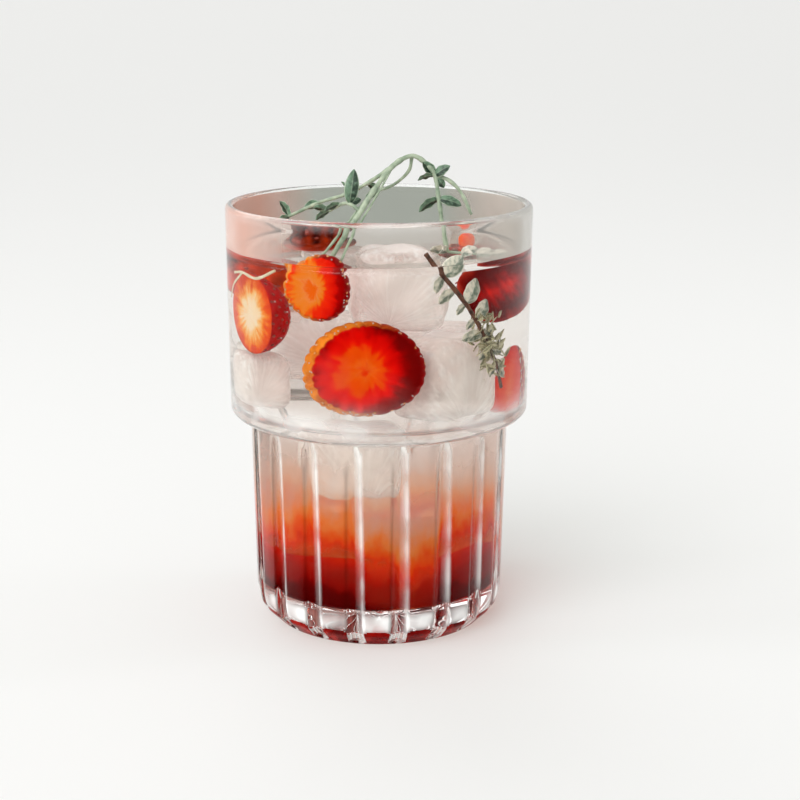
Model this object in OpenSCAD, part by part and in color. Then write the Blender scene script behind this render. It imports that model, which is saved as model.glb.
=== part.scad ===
// Stackable fluted glass tumbler holding an iced strawberry and thyme drink.
// Millimetres, +Z up, origin at the middle of the foot on the table.
// The front, which faces the viewer, is -Y.

/* [Tumbler] */
// Height from the table to the rim
glass_h = 120; // [116:0.5:126]
// Outside radius at the rim
rim_r = 43; // [42.5:0.1:44]
// Wall thickness of the bowl, which is also the width of the rounded lip
wall_t = 2.6; // [2.2:0.1:2.8]
// Outside radius of the bowl just above the ledge
bowl_r = 42.4; // [42:0.1:42.6]
// Height of the stacking ledge
ledge_z = 59.3; // [57:0.1:60]
// Height of the rounded corner of the ledge
ledge_rise = 3.4; // [2.5:0.1:4.5]
// Outside radius of the fluted body under the ledge
neck_r = 36.8; // [36.4:0.1:37.2]
// Outside radius of the fluted body where the heel begins
heel_r = 35.75; // [35.5:0.05:36]
// Height of the rounded heel
heel_h = 10.5; // [9:0.5:12]
// Outside radius of the ring that the glass stands on
foot_r = 30; // [29:0.5:31]
// Width of that ring
ring_w = 4; // [3:0.5:6]
// Depth of the shallow recess inside the ring
punt_h = 0.8; // [0.4:0.1:1.5]
// Height of the floor inside, so also the thickness of the base
floor_z = 10; // [9:0.5:11]
// Inside radius of the fluted body at the top
neck_in_r = 33; // [32.6:0.1:33.2]
// Inside radius of the fluted body at the floor
floor_in_r = 31.8; // [31.4:0.1:32]

/* [Flutes] */
// Number of flutes around the lower body
flute_count = 18; // [16:1:20]
// Radius of the round tool that leaves a flute
flute_r = 3.4; // [2.8:0.1:4]
// Depth of a flute at its pointed top
flute_top_d = 0.45; // [0.3:0.05:0.6]
// Depth of a flute at the heel
flute_heel_d = 1.15; // [0.9:0.05:1.3]
// Plain glass between the ledge and the tips of the flutes
flute_gap = 1.2; // [0.8:0.1:2.5]
// Radius of the flare that carries a flute around the heel
flare_r = 4; // [3:0.1:5]
// Depth of the flare
flare_d = 1.2; // [0.8:0.1:1.4]

/* [Drink] */
// Height of the top of the red syrup
syrup_z = 25; // [20:0.5:32]
// Height of the surface of the drink
drink_z = 107; // [105:0.5:108]
// Gap between the drink and the glass, and between its two layers
film = 0.1; // [0.05:0.05:0.2]
// Room between the drink and each loose piece in it
clear = 0.35; // [0.3:0.05:0.4]

/* [Ice] */
// Edge of a large ice block
ice_large = 24; // [22:0.5:24.5]
// Edge of a middling ice block
ice_medium = 20; // [18:0.5:20.5]
// Edge of a small, half-melted ice block
ice_small = 17; // [15:0.5:17]
// How round the blocks have melted: radius of the trimming ball over the edge
ice_melt = 0.74; // [0.72:0.01:0.84]

/* [Strawberries] */
// Width of the large slice at the front
slice_w = 31; // [28:0.5:32]
// Height of the large slice
slice_h = 26; // [24:0.5:26.5]
// Thickness of the large slice
slice_t = 6; // [4:0.5:6]
// Diameter of the small slice
small_slice_d = 17.6; // [15:0.2:17.8]
// Thickness of the small slice
small_slice_t = 4.6; // [3:0.2:4.6]
// Diameter of the cut face of the tip
tip_d = 22; // [18:0.5:22]
// Length of the tip from its cut face
tip_len = 11; // [9:0.5:11]
// Length of the halved berry at the back
half_len = 22; // [20:0.5:22]
// Radius of the halved berry at the back
half_r = 11; // [9:0.5:11]
// Length of the halved berry at the right wall
right_half_len = 20; // [18:0.5:20]
// Radius of the halved berry at the right wall
right_half_r = 9; // [8:0.5:9]
// Height of the wedge low at the right wall
wedge_h = 18; // [15:0.5:18]
// Radius of the berry that the wedge was cut from
wedge_r = 8; // [7:0.5:8]
// Width of the wedge
wedge_w = 11; // [9:0.5:11]
// Radius of the small bit that floats at the right
bit_r = 2.6; // [2.4:0.1:3]

/* [Thyme] */
// Radius of the green stem that arches over the drink
stem_r = 0.75; // [0.6:0.05:0.9]
// Radius of the brown woody stem
woody_r = 0.7; // [0.6:0.05:0.8]
// Thickness of a leaf
leaf_t = 0.6; // [0.5:0.1:0.8]

/* [Hidden] */
$fn = 64;
arc_steps = 10;
tube_sides = 8;
tube_substeps = 3;
berry_steps = 14;
slice_steps = 40;

// Radius of the flat at the shoulder and the tip of a berry
berry_end_r = 1;

// Half the flute pitch puts a plain panel, not a flute, at the front
flute_pitch = 360 / flute_count;
flute_shift = -1;
flute_ogive = 8;

// The inside of the glass
rim_in_r = rim_r - wall_t;
bowl_in_r = bowl_r - wall_t;
step_z = ledge_z + 3.2;
step_rise = 6;
step_fillet = 2;
floor_fillet = 4;

// Where each loose piece lies: the middle of an ice block and its turn about Z
ice_neck_at = [-6, -12.4, 50.5];
ice_right_at = [15.4, -14.6, 74.6];
ice_centre_at = [4.4, -10, 98.2];
ice_left_at = [-27.6, -6.5, 71.9];
ice_back_left_at = [-13, 18.2, 79];
ice_back_right_at = [8.8, 18.6, 75];
ice_neck_turn = 4;
ice_right_turn = 43;
ice_centre_turn = 6;
ice_left_turn = 12;
ice_back_left_turn = 3;
ice_back_right_turn = -5;

// Where each piece of fruit lies
slice_at = [-4.8, -30, 80.2];
small_slice_at = [-15, -29, 101.2];
tip_at = [-32.2, -15, 91.6];
back_half_at = [-17.5, 18.6, 100.3];
right_half_at = [27.2, 3, 97];
wedge_at = [32.9, -6.4, 73];
bit_at = [25, 5, 107.9];
small_slice_turn = -10;
tip_turn = 22;
back_half_turn = [90, 0, 8];
right_half_turn = [-90, -27, 15];
wedge_turn = 66;

// Routes of the stems, chosen by hand
arch_route = [
    [-12.9, -24, 107.8], [-9.5, -20.5, 113], [-5, -16.5, 119.5], [-0.5, -12.5, 126],
    [4, -9.5, 131.2], [9, -8, 133.6], [13, -8, 131.4], [15.3, -8, 128.2],
    [16.4, -9, 122], [17.4, -10, 115], [18.6, -11, 107.8]
];
left_route = [
    [4, -9.5, 131.2], [-2, -6, 126.6], [-9, -2, 122.4], [-17, 2, 119.4], [-25.5, 4.8, 115.2]
];
low_route = [
    [-5, -16.5, 119.5], [-8, -15, 121.4], [-10.4, -13, 121], [-13.6, -10.8, 118.8]
];
right_route = [
    [15.3, -8, 128.2], [19, -8, 127], [22.5, -8.2, 123.6], [25.4, -8.5, 117.6]
];
short_route = [
    [9, -8, 133.6], [8.2, -6.4, 129.4], [4.4, -5, 125.6], [-0.4, -4, 123.4]
];
woody_route = [
    [12, -34.6, 111], [16.2, -33, 105], [19.2, -31.4, 101], [21.9, -29.6, 97], [24.4, -27.4, 92.4],
    [26.4, -25.4, 88], [28.4, -23.2, 83], [30, -21.2, 78], [31.2, -19.6, 71.8]
];
stray_route = [
    [-26.2, -26.6, 105.4], [-31, -21.6, 102.4], [-34.6, -15.6, 103], [-36.6, -10.8, 102.2]
];
stray_twig_route = [
    [-34.6, -15.6, 103], [-37, -10, 98.6], [-37.6, -7.6, 94.6]
];

// Leaves: the point of the stem they grow from, their roll, pitch and turn, length and width
arch_leaves = [
    [low_route[1], [80, -82, 10], 9.4, 4], [low_route[1], [60, -20, 20], 3.6, 2.2],
    [low_route[2], [60, 15, 200], 5, 2.6], [low_route[3], [60, -10, 150], 5, 3],
    [low_route[3], [60, 25, 200], 4.6, 2.8],
    [left_route[2], [70, -55, 120], 4, 2.6], [left_route[3], [70, 20, 150], 5, 2.8],
    [left_route[4], [70, -60, 160], 5, 3], [left_route[4], [60, 30, 170], 3.6, 2.6],
    [arch_route[7], [60, -50, 200], 5.4, 3], [arch_route[7], [70, -35, -15], 5, 3],
    [arch_route[7], [40, 10, 190], 5, 3], [arch_route[7], [80, 50, 10], 4.4, 2.6],
    [arch_route[8], [60, 30, 185], 6.6, 3.2], [arch_route[8], [60, 15, 0], 6.6, 3.2],
    [short_route[3], [70, -40, 170], 4, 2.4], [short_route[3], [70, 30, 190], 4, 2.4]
];
woody_leaves = [
    [woody_route[1], [80, -25, 35], 5.6, 3.4], [woody_route[1], [80, 60, 205], 5, 3],
    [woody_route[2], [80, 30, 210], 5.4, 3.2], [woody_route[3], [80, -20, 45], 6, 3.6],
    [woody_route[3], [80, 40, 215], 5, 3], [woody_route[4], [80, -30, 50], 5, 3],
    [woody_route[4], [80, 35, 220], 5, 3], [woody_route[5], [80, -10, 50], 5.4, 3.2],
    [woody_route[5], [80, 25, 222], 5.6, 3.2], [woody_route[6], [80, 10, 52], 6, 3.4],
    [woody_route[6], [80, 20, 225], 6, 3.4], [woody_route[7], [80, -25, 55], 5, 3],
    [woody_route[7], [80, 45, 56], 5.4, 3.2], [woody_route[7], [80, 30, 232], 5.4, 3.2]
];

// Points of an elliptic arc about a centre, from one angle to another
function arc(centre, rx, rz, from, to) =
    [for (i = [0 : arc_steps]) let (a = from + (to - from) * i / arc_steps)
        [centre.x + rx * cos(a), centre.y + rz * sin(a)]];

// Outside radius of the fluted body at a height, before the flutes
function wall_r(z) = heel_r + (neck_r - heel_r) * (z - heel_h) / (ledge_z - heel_h);

// Outside of the glass from the middle of the base up to the lip
function outer_points() = concat(
    [[0, punt_h], [foot_r - ring_w - punt_h, punt_h], [foot_r - ring_w, 0]],
    arc([foot_r, heel_h], heel_r - foot_r, heel_h, -90, 0),
    arc([neck_r, ledge_z + ledge_rise], bowl_r - neck_r, ledge_rise, -90, 0),
    arc([rim_r - wall_t / 2, glass_h - wall_t / 2], wall_t / 2, wall_t / 2, 0, 180)
);

// Inside of the glass from the bowl down to the middle of the floor, drawn in by a gap
function inner_points(gap) = concat(
    arc([neck_in_r + step_fillet, step_z + step_rise], bowl_in_r - neck_in_r - step_fillet - gap, step_rise - gap,
        0, -90),
    arc([neck_in_r + step_fillet, step_z - step_fillet], step_fillet + gap, step_fillet + gap, 90, 180),
    arc([floor_in_r - floor_fillet, floor_z + floor_fillet], floor_fillet - gap, floor_fillet - gap, 0, -90),
    [[0, floor_z + gap]]
);

// One flute tool: a round bar with a pointed tip, lying along the wall and sinking in towards the heel
module flute_tool() {
    top_z = ledge_z - flute_gap - flute_ogive * sqrt(flute_top_d / flute_r);
    low = [heel_r + flute_r - flute_heel_d, heel_h];
    top = [wall_r(top_z) + flute_r - flute_top_d, top_z];
    lean = atan2(top.x - low.x, top.y - low.y);
    bar = norm(top - low) + heel_h;
    translate([top.x, 0, top.y])
        rotate([0, lean, 0])
            rotate_extrude()
                polygon(concat(
                    [[0, -bar], [flute_r, -bar]],
                    [for (i = [0 : arc_steps - 1]) let (s = i / arc_steps) [flute_r * (1 - s * s), flute_ogive * s]],
                    [[0, flute_ogive]]));
}

// One flare tool: a bar across the heel that opens the foot of a flute
module flare_tool() {
    mid = 45;
    touch = [foot_r + (heel_r - foot_r) * sin(mid), heel_h * (1 - cos(mid))];
    slope = atan2(heel_h * sin(mid), (heel_r - foot_r) * cos(mid));
    out = flare_r - flare_d;
    translate([touch.x + out * sin(slope), 0, touch.y - out * cos(slope)])
        rotate([0, 90 - slope, 0])
            cylinder(r = flare_r, h = 3 * heel_h, center = true);
}

module tumbler() {
    color("lightcyan", 0.4)
        difference() {
            rotate_extrude()
                polygon(concat(outer_points(), [[rim_in_r, glass_h - wall_t / 2]], inner_points(0)));
            for (i = [0 : flute_count - 1])
                rotate([0, 0, 90 + flute_shift + (i + 0.5) * flute_pitch]) {
                    flute_tool();
                    flare_tool();
                }
        }
}

// Everything inside the glass between two heights, just off the wall
module drink_layer(from_z, to_z) {
    intersection() {
        rotate_extrude()
            polygon(concat([[0, glass_h], [rim_in_r - film, glass_h]], inner_points(film)));
        translate([0, 0, from_z])
            cylinder(r = rim_r, h = to_z - from_z);
    }
}

module syrup() {
    color("darkred")
        drink_layer(0, syrup_z);
}

// The clear drink, with a pocket around each piece that lies in it
module soda() {
    color("mistyrose", 0.5)
        difference() {
            drink_layer(syrup_z + film, drink_z);
            ice_neck(clear);
            ice_right(clear);
            ice_centre(clear);
            ice_left(clear);
            ice_back_left(clear);
            ice_back_right(clear);
            strawberry_large_slice(clear);
            strawberry_small_slice(clear);
            strawberry_tip(clear);
            strawberry_back_half(clear);
            strawberry_right_half(clear);
            strawberry_wedge(clear);
            strawberry_bit(clear);
            woody_pocket();
            stray_pocket();
        }
}

// A block of ice with its corners melted round
module ice_block(size, grow) {
    edge = max(size.x, size.y, size.z);
    color("aliceblue", 0.6)
        intersection() {
            cube(size + 2 * [grow, grow, grow], center = true);
            sphere(r = ice_melt * edge + grow);
        }
}

module ice_neck(grow = 0) {
    translate(ice_neck_at)
        rotate([0, 0, ice_neck_turn])
            ice_block([ice_large, ice_large, ice_medium], grow);
}

module ice_right(grow = 0) {
    translate(ice_right_at)
        rotate([0, 0, ice_right_turn])
            ice_block([ice_medium + 1, ice_medium + 1, ice_large], grow);
}

module ice_centre(grow = 0) {
    translate(ice_centre_at)
        rotate([0, 0, ice_centre_turn])
            ice_block([ice_large - 2, ice_large - 2, ice_large - 2], grow);
}

module ice_left(grow = 0) {
    translate(ice_left_at)
        rotate([0, 0, ice_left_turn])
            ice_block([ice_small - 3, ice_small - 2, ice_small - 1], grow);
}

module ice_back_left(grow = 0) {
    translate(ice_back_left_at)
        rotate([0, 0, ice_back_left_turn])
            ice_block([ice_medium, ice_medium, ice_medium], grow);
}

module ice_back_right(grow = 0) {
    translate(ice_back_right_at)
        rotate([0, 0, ice_back_right_turn])
            ice_block([ice_medium - 1, ice_medium - 1, ice_medium], grow);
}

// A cross slice of a berry: an oval plate that stands on edge and faces the front
module berry_slice(width, height, thick, grow) {
    color("orangered")
        rotate([90, 0, 0])
            linear_extrude(thick + 2 * grow, center = true)
                polygon([for (i = [0 : slice_steps - 1]) let (a = 360 * i / slice_steps)
                    [(width / 2 + grow) * cos(a), (height / 2 + grow) * sin(a)]]);
}

// Radius of a whole berry along its length, from its shoulder at 0 to its tip at 1
function berry_r(s) = 1.82 * pow(s, 0.38) * pow(1 - s, 0.5);

// A whole berry along Z, shoulder down and tip up, with a small flat at each end
module berry(length, radius, grow) {
    end_r = berry_end_r + grow;
    rotate_extrude()
        polygon(concat(
            [[0, -grow], [end_r, -grow]],
            [for (i = [1 : berry_steps - 1]) let (s = i / berry_steps)
                [radius * berry_r(s) + grow, (length + 2 * grow) * s - grow]],
            [[end_r, length + grow], [0, length + grow]]));
}

// A berry cut in half along its length: axis along X, cut face down before it is turned
module halved_berry(length, radius, grow) {
    color("firebrick")
        intersection() {
            translate([-length / 2, 0, 0])
                rotate([0, 90, 0])
                    berry(length, radius, grow);
            translate([-length, -length, -grow])
                cube([2 * length, 2 * length, length]);
        }
}

module strawberry_large_slice(grow = 0) {
    translate(slice_at)
        berry_slice(slice_w, slice_h, slice_t, grow);
}

module strawberry_small_slice(grow = 0) {
    translate(small_slice_at)
        rotate([0, 0, small_slice_turn])
            berry_slice(small_slice_d, small_slice_d, small_slice_t, grow);
}

// The rounded end of a berry, its cut face turned to the left wall
module strawberry_tip(grow = 0) {
    color("crimson")
        translate(tip_at)
            rotate([0, 90, tip_turn])
                rotate_extrude()
                    polygon(concat(
                        [[0, -grow]],
                        [for (i = [0 : berry_steps - 1]) let (a = 90 * i / berry_steps)
                            [(tip_d / 2 + grow) * cos(a), (tip_len + 2 * grow) * sin(a) - grow]],
                        [[0, tip_len + grow]]));
}

module strawberry_back_half(grow = 0) {
    translate(back_half_at)
        rotate(back_half_turn)
            halved_berry(half_len, half_r, grow);
}

module strawberry_right_half(grow = 0) {
    translate(right_half_at)
        rotate(right_half_turn)
            halved_berry(right_half_len, right_half_r, grow);
}

// A piece of a berry low at the right wall, its cut face turned to the front
module strawberry_wedge(grow = 0) {
    color("tomato")
        translate(wedge_at)
            rotate([0, 0, wedge_turn])
                intersection() {
                    translate([-wedge_r / 2, 0, -wedge_h / 2])
                        berry(wedge_h, wedge_r, grow);
                    translate([-wedge_r / 2 - grow, -wedge_w / 2 - grow, -wedge_h])
                        cube([2 * wedge_r, wedge_w + 2 * grow, 2 * wedge_h]);
                }
}

module strawberry_bit(grow = 0) {
    color("orangered")
        translate(bit_at)
            intersection() {
                sphere(r = bit_r + grow);
                translate([-2 * bit_r, -2 * bit_r, -bit_r / 2 - grow])
                    cube([4 * bit_r, 4 * bit_r, 4 * bit_r]);
            }
}

// A smooth point between two of four route points
function blend(p, t) =
    0.5 * (2 * p[1] + (p[2] - p[0]) * t + (2 * p[0] - 5 * p[1] + 4 * p[2] - p[3]) * t * t
        + (3 * p[1] - p[0] - 3 * p[2] + p[3]) * t * t * t);

// The route with its first and last points repeated, and then filled in smoothly
function held(route) = concat([route[0]], route, [route[len(route) - 1]]);
function smooth(route) = let (h = held(route)) concat(
    [for (i = [0 : len(route) - 2], k = [0 : tube_substeps - 1])
        blend([h[i], h[i + 1], h[i + 2], h[i + 3]], k / tube_substeps)],
    [route[len(route) - 1]]);

// One ring of a tube, square to the way the route runs there
function unit(v) = v / norm(v);
function tube_ring(points, i, r) =
    let (ahead = points[min(i + 1, len(points) - 1)], behind = points[max(i - 1, 0)])
    let (along = unit(ahead - behind), side = unit(cross(along, [0, 1, 0])), up = cross(side, along))
    [for (k = [0 : tube_sides - 1]) let (a = 360 * k / tube_sides)
        points[i] + r * (cos(a) * side + sin(a) * up)];

// A round stem that follows a route and thins towards its end
module stem(route, r_start, r_end) {
    points = smooth(route);
    last = len(points) - 1;
    rings = [for (i = [0 : last]) each tube_ring(points, i, r_start + (r_end - r_start) * i / last)];
    sides = [for (i = [0 : last - 1], k = [0 : tube_sides - 1])
        let (a = i * tube_sides + k, b = i * tube_sides + (k + 1) % tube_sides)
        each [[a, b, a + tube_sides], [b, b + tube_sides, a + tube_sides]]];
    start_cap = [[for (k = [tube_sides - 1 : -1 : 0]) k]];
    end_cap = [[for (k = [0 : tube_sides - 1]) last * tube_sides + k]];
    polyhedron(rings, concat(sides, start_cap, end_cap));
}

// A pointed oval leaf that grows from the origin along X
module leaf(length, width) {
    bow = (length * length + width * width) / (4 * width);
    translate([length / 2, 0, 0])
        linear_extrude(leaf_t, center = true)
            intersection() {
                translate([0, bow - width / 2])
                    circle(r = bow);
                translate([0, width / 2 - bow])
                    circle(r = bow);
            }
}

module leaves(list) {
    for (one = list)
        translate(one[0])
            rotate([0, 0, one[1].z])
                rotate([0, one[1].y, 0])
                    rotate([one[1].x, 0, 0])
                        leaf(one[2], one[3]);
}

module thyme_arch() {
    color("darkseagreen") {
        stem(arch_route, stem_r, stem_r * 0.8);
        stem(left_route, stem_r * 0.8, stem_r * 0.6);
        stem(low_route, stem_r * 0.7, stem_r * 0.6);
        stem(right_route, stem_r * 0.8, stem_r * 0.6);
        stem(short_route, stem_r * 0.7, stem_r * 0.5);
        leaves(arch_leaves);
    }
}

module thyme_woody() {
    color("darkolivegreen") {
        stem(woody_route, woody_r, woody_r * 0.7);
        leaves(woody_leaves);
    }
}

module thyme_stray() {
    color("khaki") {
        stem(stray_route, woody_r * 0.8, woody_r * 0.7);
        stem(stray_twig_route, woody_r * 0.7, woody_r * 0.6);
    }
}

// Room in the drink for the woody sprig: a slanting slot along the wall
module woody_pocket() {
    slot = [16, 8, 52];
    from = woody_route[0];
    to = woody_route[len(woody_route) - 1];
    run = to - from;
    translate((from + to) / 2)
        rotate([0, acos(run.z / norm(run)), atan2(run.y, run.x)])
            cube(slot, center = true);
}

// Room in the drink for the stray stem: a shallow band along the left wall
module stray_pocket() {
    low_z = 93;
    depth = 4;
    difference() {
        intersection() {
            translate([0, 0, low_z])
                cylinder(r = rim_r, h = glass_h - low_z);
            translate([-rim_r, -29, low_z])
                cube([rim_r - 24.9, 24, glass_h - low_z]);
        }
        cylinder(r = bowl_in_r - depth, h = glass_h);
    }
}

tumbler();
syrup();
soda();
ice_neck();
ice_right();
ice_centre();
ice_left();
ice_back_left();
ice_back_right();
strawberry_large_slice();
strawberry_small_slice();
strawberry_tip();
strawberry_back_half();
strawberry_right_half();
strawberry_wedge();
strawberry_bit();
thyme_arch();
thyme_woody();
thyme_stray();
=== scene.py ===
# %% [markdown]
# # A fluted tumbler of iced strawberry and thyme drink
# The glass, the drink and everything floating in it were built as solids first. This lesson loads
# those solids as a fixed frame and gives each one the shape and finish that the eye expects:
# pressed glass, clear drink over red syrup, cloudy ice, wet fruit and fresh herbs.

# %% Load the frame
import math
import bpy
import numpy as np
from mathutils import Matrix, Vector


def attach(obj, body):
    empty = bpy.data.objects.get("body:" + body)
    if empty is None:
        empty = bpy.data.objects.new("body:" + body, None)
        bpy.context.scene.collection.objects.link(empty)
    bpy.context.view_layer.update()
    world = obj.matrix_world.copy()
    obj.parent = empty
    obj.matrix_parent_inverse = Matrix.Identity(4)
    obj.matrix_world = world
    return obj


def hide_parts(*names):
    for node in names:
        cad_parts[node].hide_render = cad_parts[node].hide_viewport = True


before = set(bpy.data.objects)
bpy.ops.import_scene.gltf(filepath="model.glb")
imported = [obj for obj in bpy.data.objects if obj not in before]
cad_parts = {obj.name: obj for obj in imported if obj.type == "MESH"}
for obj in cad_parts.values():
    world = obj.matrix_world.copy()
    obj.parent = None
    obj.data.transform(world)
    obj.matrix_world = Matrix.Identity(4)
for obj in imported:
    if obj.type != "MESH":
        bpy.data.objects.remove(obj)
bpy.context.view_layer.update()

MM = 0.001

# %% [markdown]
# ## The camera
# The camera stands half a metre from the glass and looks down on it a little, so that the rim shows
# as a narrow ellipse. A long lens keeps the sides of the glass nearly upright, and a small shift
# puts the glass where it stands in the square picture.

# %% Camera
PICTURE = 800
EYE_DISTANCE = 500 * MM
EYE_TILT = math.radians(14.4)
AIM = np.array([0.0, 0.0, 60 * MM])
FOCAL_PIXELS = 1735
AIM_PIXEL = (379, 409.5)
SENSOR = 36

camera = bpy.data.objects.new("camera", bpy.data.cameras.new("camera"))
camera.data.sensor_width = SENSOR
camera.data.lens = SENSOR * FOCAL_PIXELS / PICTURE
camera.data.shift_x = (PICTURE / 2 - AIM_PIXEL[0]) / PICTURE
camera.data.shift_y = (AIM_PIXEL[1] - PICTURE / 2) / PICTURE
camera.data.clip_start = 10 * MM
camera.location = AIM + EYE_DISTANCE * np.array([0, -math.cos(EYE_TILT), math.sin(EYE_TILT)])
camera.rotation_euler = (math.pi / 2 - EYE_TILT, 0, 0)
bpy.context.collection.objects.link(camera)
bpy.context.scene.camera = camera
print("lens %.1f mm" % camera.data.lens)

# %% [markdown]
# ## Colours and nodes
# Colours are written the way a picture editor shows them, as sRGB hex, and one function turns them
# into the linear numbers that a renderer adds up. One more function adds a node to a material, sets
# it up and links it, so that each finish below reads as a short recipe.

# %% Colour and node helpers
MAIN_OUTPUT = {"ShaderNodeTexCoord": "Object", "ShaderNodeAttribute": "Fac", "ShaderNodeMix": 2}


def linear(hex_colour):
    """sRGB hex to linear RGBA: each channel over 12.92 when dark, else its 2.4th power curve."""
    srgb = np.array([int(hex_colour[i:i + 2], 16) for i in (1, 3, 5)]) / 255
    rgb = np.where(srgb <= 0.04045, srgb / 12.92, ((srgb + 0.055) / 1.055) ** 2.4)
    return (*rgb.tolist(), 1.0)


def add(tree, kind, inputs=None, stops=None, **settings):
    """Add a node: its settings, its colour stops if it is a ramp, and a value or a link per input.

    A node that is given as an input stands for its main output, which is mostly its first one.
    """
    node = tree.nodes.new("ShaderNode" + kind)
    for name, value in settings.items():
        setattr(node, name, value)
    if stops:
        ramp = node.color_ramp.elements
        ramp[0].position, ramp[0].color = stops[0][0], linear(stops[0][1])
        ramp[1].position, ramp[1].color = stops[-1][0], linear(stops[-1][1])
        for place, colour in stops[1:-1]:
            ramp.new(place).color = linear(colour)
    for name, value in (inputs or {}).items():
        if isinstance(value, bpy.types.Node):
            value = value.outputs[MAIN_OUTPUT.get(value.bl_idname, 0)]
        if isinstance(value, bpy.types.NodeSocket):
            tree.links.new(value, node.inputs[name])
        else:
            node.inputs[name].default_value = value
    return node


def new_finish(name):
    """An empty node material, its tree, and the node that gives a point's place on the object."""
    material = bpy.data.materials.new(name)
    material.use_nodes = True
    tree = material.node_tree
    tree.nodes.clear()
    return material, tree, add(tree, "TexCoord")


def show(tree, shader, tint=None):
    """Send a shader to the material's surface.

    A clear material has a tint: shadow and diffuse rays pass straight through it in that colour, so
    that the lamps reach what is inside.
    """
    if tint:
        path = add(tree, "LightPath")
        passes = add(tree, "Math", {
            0: path.outputs["Is Shadow Ray"], 1: path.outputs["Is Diffuse Ray"]}, operation="MAXIMUM")
        straight = add(tree, "BsdfTransparent", {"Color": linear(tint)})
        shader = add(tree, "MixShader", {0: passes, 1: shader, 2: straight})
    add(tree, "OutputMaterial", {"Surface": shader})


print("half bright in sRGB, #808080, is %.3f in linear light" % linear("#808080")[0])

# %% [markdown]
# ## The studio
# Clear glass has no colour of its own: it shows what stands around it. A wide pale floor gives it a
# bright ground. One broad light from the front left lights the fruit and the floor evenly, a weaker
# one from behind makes the drink glow, and two tall soft boxes draw upright lights on the sides.

# %% Floor
FLOOR_RADIUS, FLOOR_GAP, PAPER = 40.0, 0.2 * MM, "#F5F5F4"


def circle(count):
    """Angles that go once round, evenly."""
    return np.linspace(0, 2 * np.pi, count, endpoint=False)


def xyz(x, y, z):
    """Points from three coordinates that are spread over each other's rows and columns."""
    return np.stack(np.broadcast_arrays(x, y, z), -1)


def studio_floor():
    """A flat disc under the glass: a ring of points and the one face inside it."""
    angle = circle(96)
    rim = xyz(FLOOR_RADIUS * np.cos(angle), FLOOR_RADIUS * np.sin(angle), -FLOOR_GAP)
    mesh = bpy.data.meshes.new("floor")
    mesh.from_pydata(rim.tolist(), [], [list(range(len(rim)))])
    floor = bpy.data.objects.new("floor", mesh)
    bpy.context.collection.objects.link(floor)
    paper, tree, _ = new_finish("matt studio paper")
    show(tree, add(tree, "BsdfPrincipled", {"Base Color": linear(PAPER), "Roughness": 0.8}))
    mesh.materials.append(paper)
    return floor


studio_floor()
print("floor %.1f mm under the glass" % (FLOOR_GAP / MM))

# %% Lamps
# A sun: its name, the way it shines, its strength and its width in degrees
SUNS = [("front light", (0.5, 0.75, -0.7), 2.0, 50), ("back light", (0.25, -0.8, -0.7), 0.5, 40)]
# A soft box: its name, place, width, height and power
SOFT_BOXES = [
    ("left soft box", (-0.75, -0.1, 0.45), 0.2, 0.9, 1.5),
    ("right soft box", (0.8, 0.1, 0.4), 0.15, 0.8, 1.0)]
BOXES_FACE = Vector((0, 0, 0.07))


def lamp(name, kind, way, place=(0, 0, 0), **settings):
    """A lamp that shines along a way. A sun is so far off that its place doesn't matter."""
    light = bpy.data.lights.new(name, kind)
    for key, value in settings.items():
        setattr(light, key, value)
    stand = bpy.data.objects.new(name, light)
    stand.rotation_euler = Vector(way).to_track_quat("-Z", "Y").to_euler()
    stand.location = place
    bpy.context.collection.objects.link(stand)


for name, way, strength, degrees in SUNS:
    lamp(name, "SUN", way, energy=strength, angle=math.radians(degrees))
for name, place, width, height, power in SOFT_BOXES:
    lamp(name, "AREA", BOXES_FACE - Vector(place), place,
         shape="RECTANGLE", size=width, size_y=height, energy=power)

# %% Surroundings
SKY = [(0.0, "#F6F6F4"), (0.25, "#E2E2E0"), (0.75, "#B0B0AE")]
SKY_STRENGTH = 0.82
BOUNCES, CLEAR_LAYERS = 24, 32

world = bpy.data.worlds.new("studio")
bpy.context.scene.world = world
world.use_nodes = True
sky = world.node_tree
up = add(sky, "SeparateXYZ", {0: add(sky, "TexCoord").outputs["Generated"]})
shade = add(sky, "ValToRGB", {"Fac": up.outputs["Z"]}, stops=SKY)
sky.links.new(shade.outputs["Color"], sky.nodes["Background"].inputs["Color"])
sky.nodes["Background"].inputs["Strength"].default_value = SKY_STRENGTH
bpy.context.scene.view_settings.view_transform = "Standard"
bpy.context.scene.cycles.max_bounces = BOUNCES
bpy.context.scene.cycles.transmission_bounces = BOUNCES
bpy.context.scene.cycles.transparent_max_bounces = CLEAR_LAYERS
print("sky strength %.2f, up to %d bounces" % (SKY_STRENGTH, BOUNCES))

# %% [markdown]
# ## From a grid of points to a piece
# Nearly everything here is a tube in disguise: rings of points, one after another, closed at both
# ends. A turned glass, a leaf, a seed and half a strawberry all fit that form. So one function makes
# the faces between the rings, and another joins such skins into one named piece.

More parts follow.
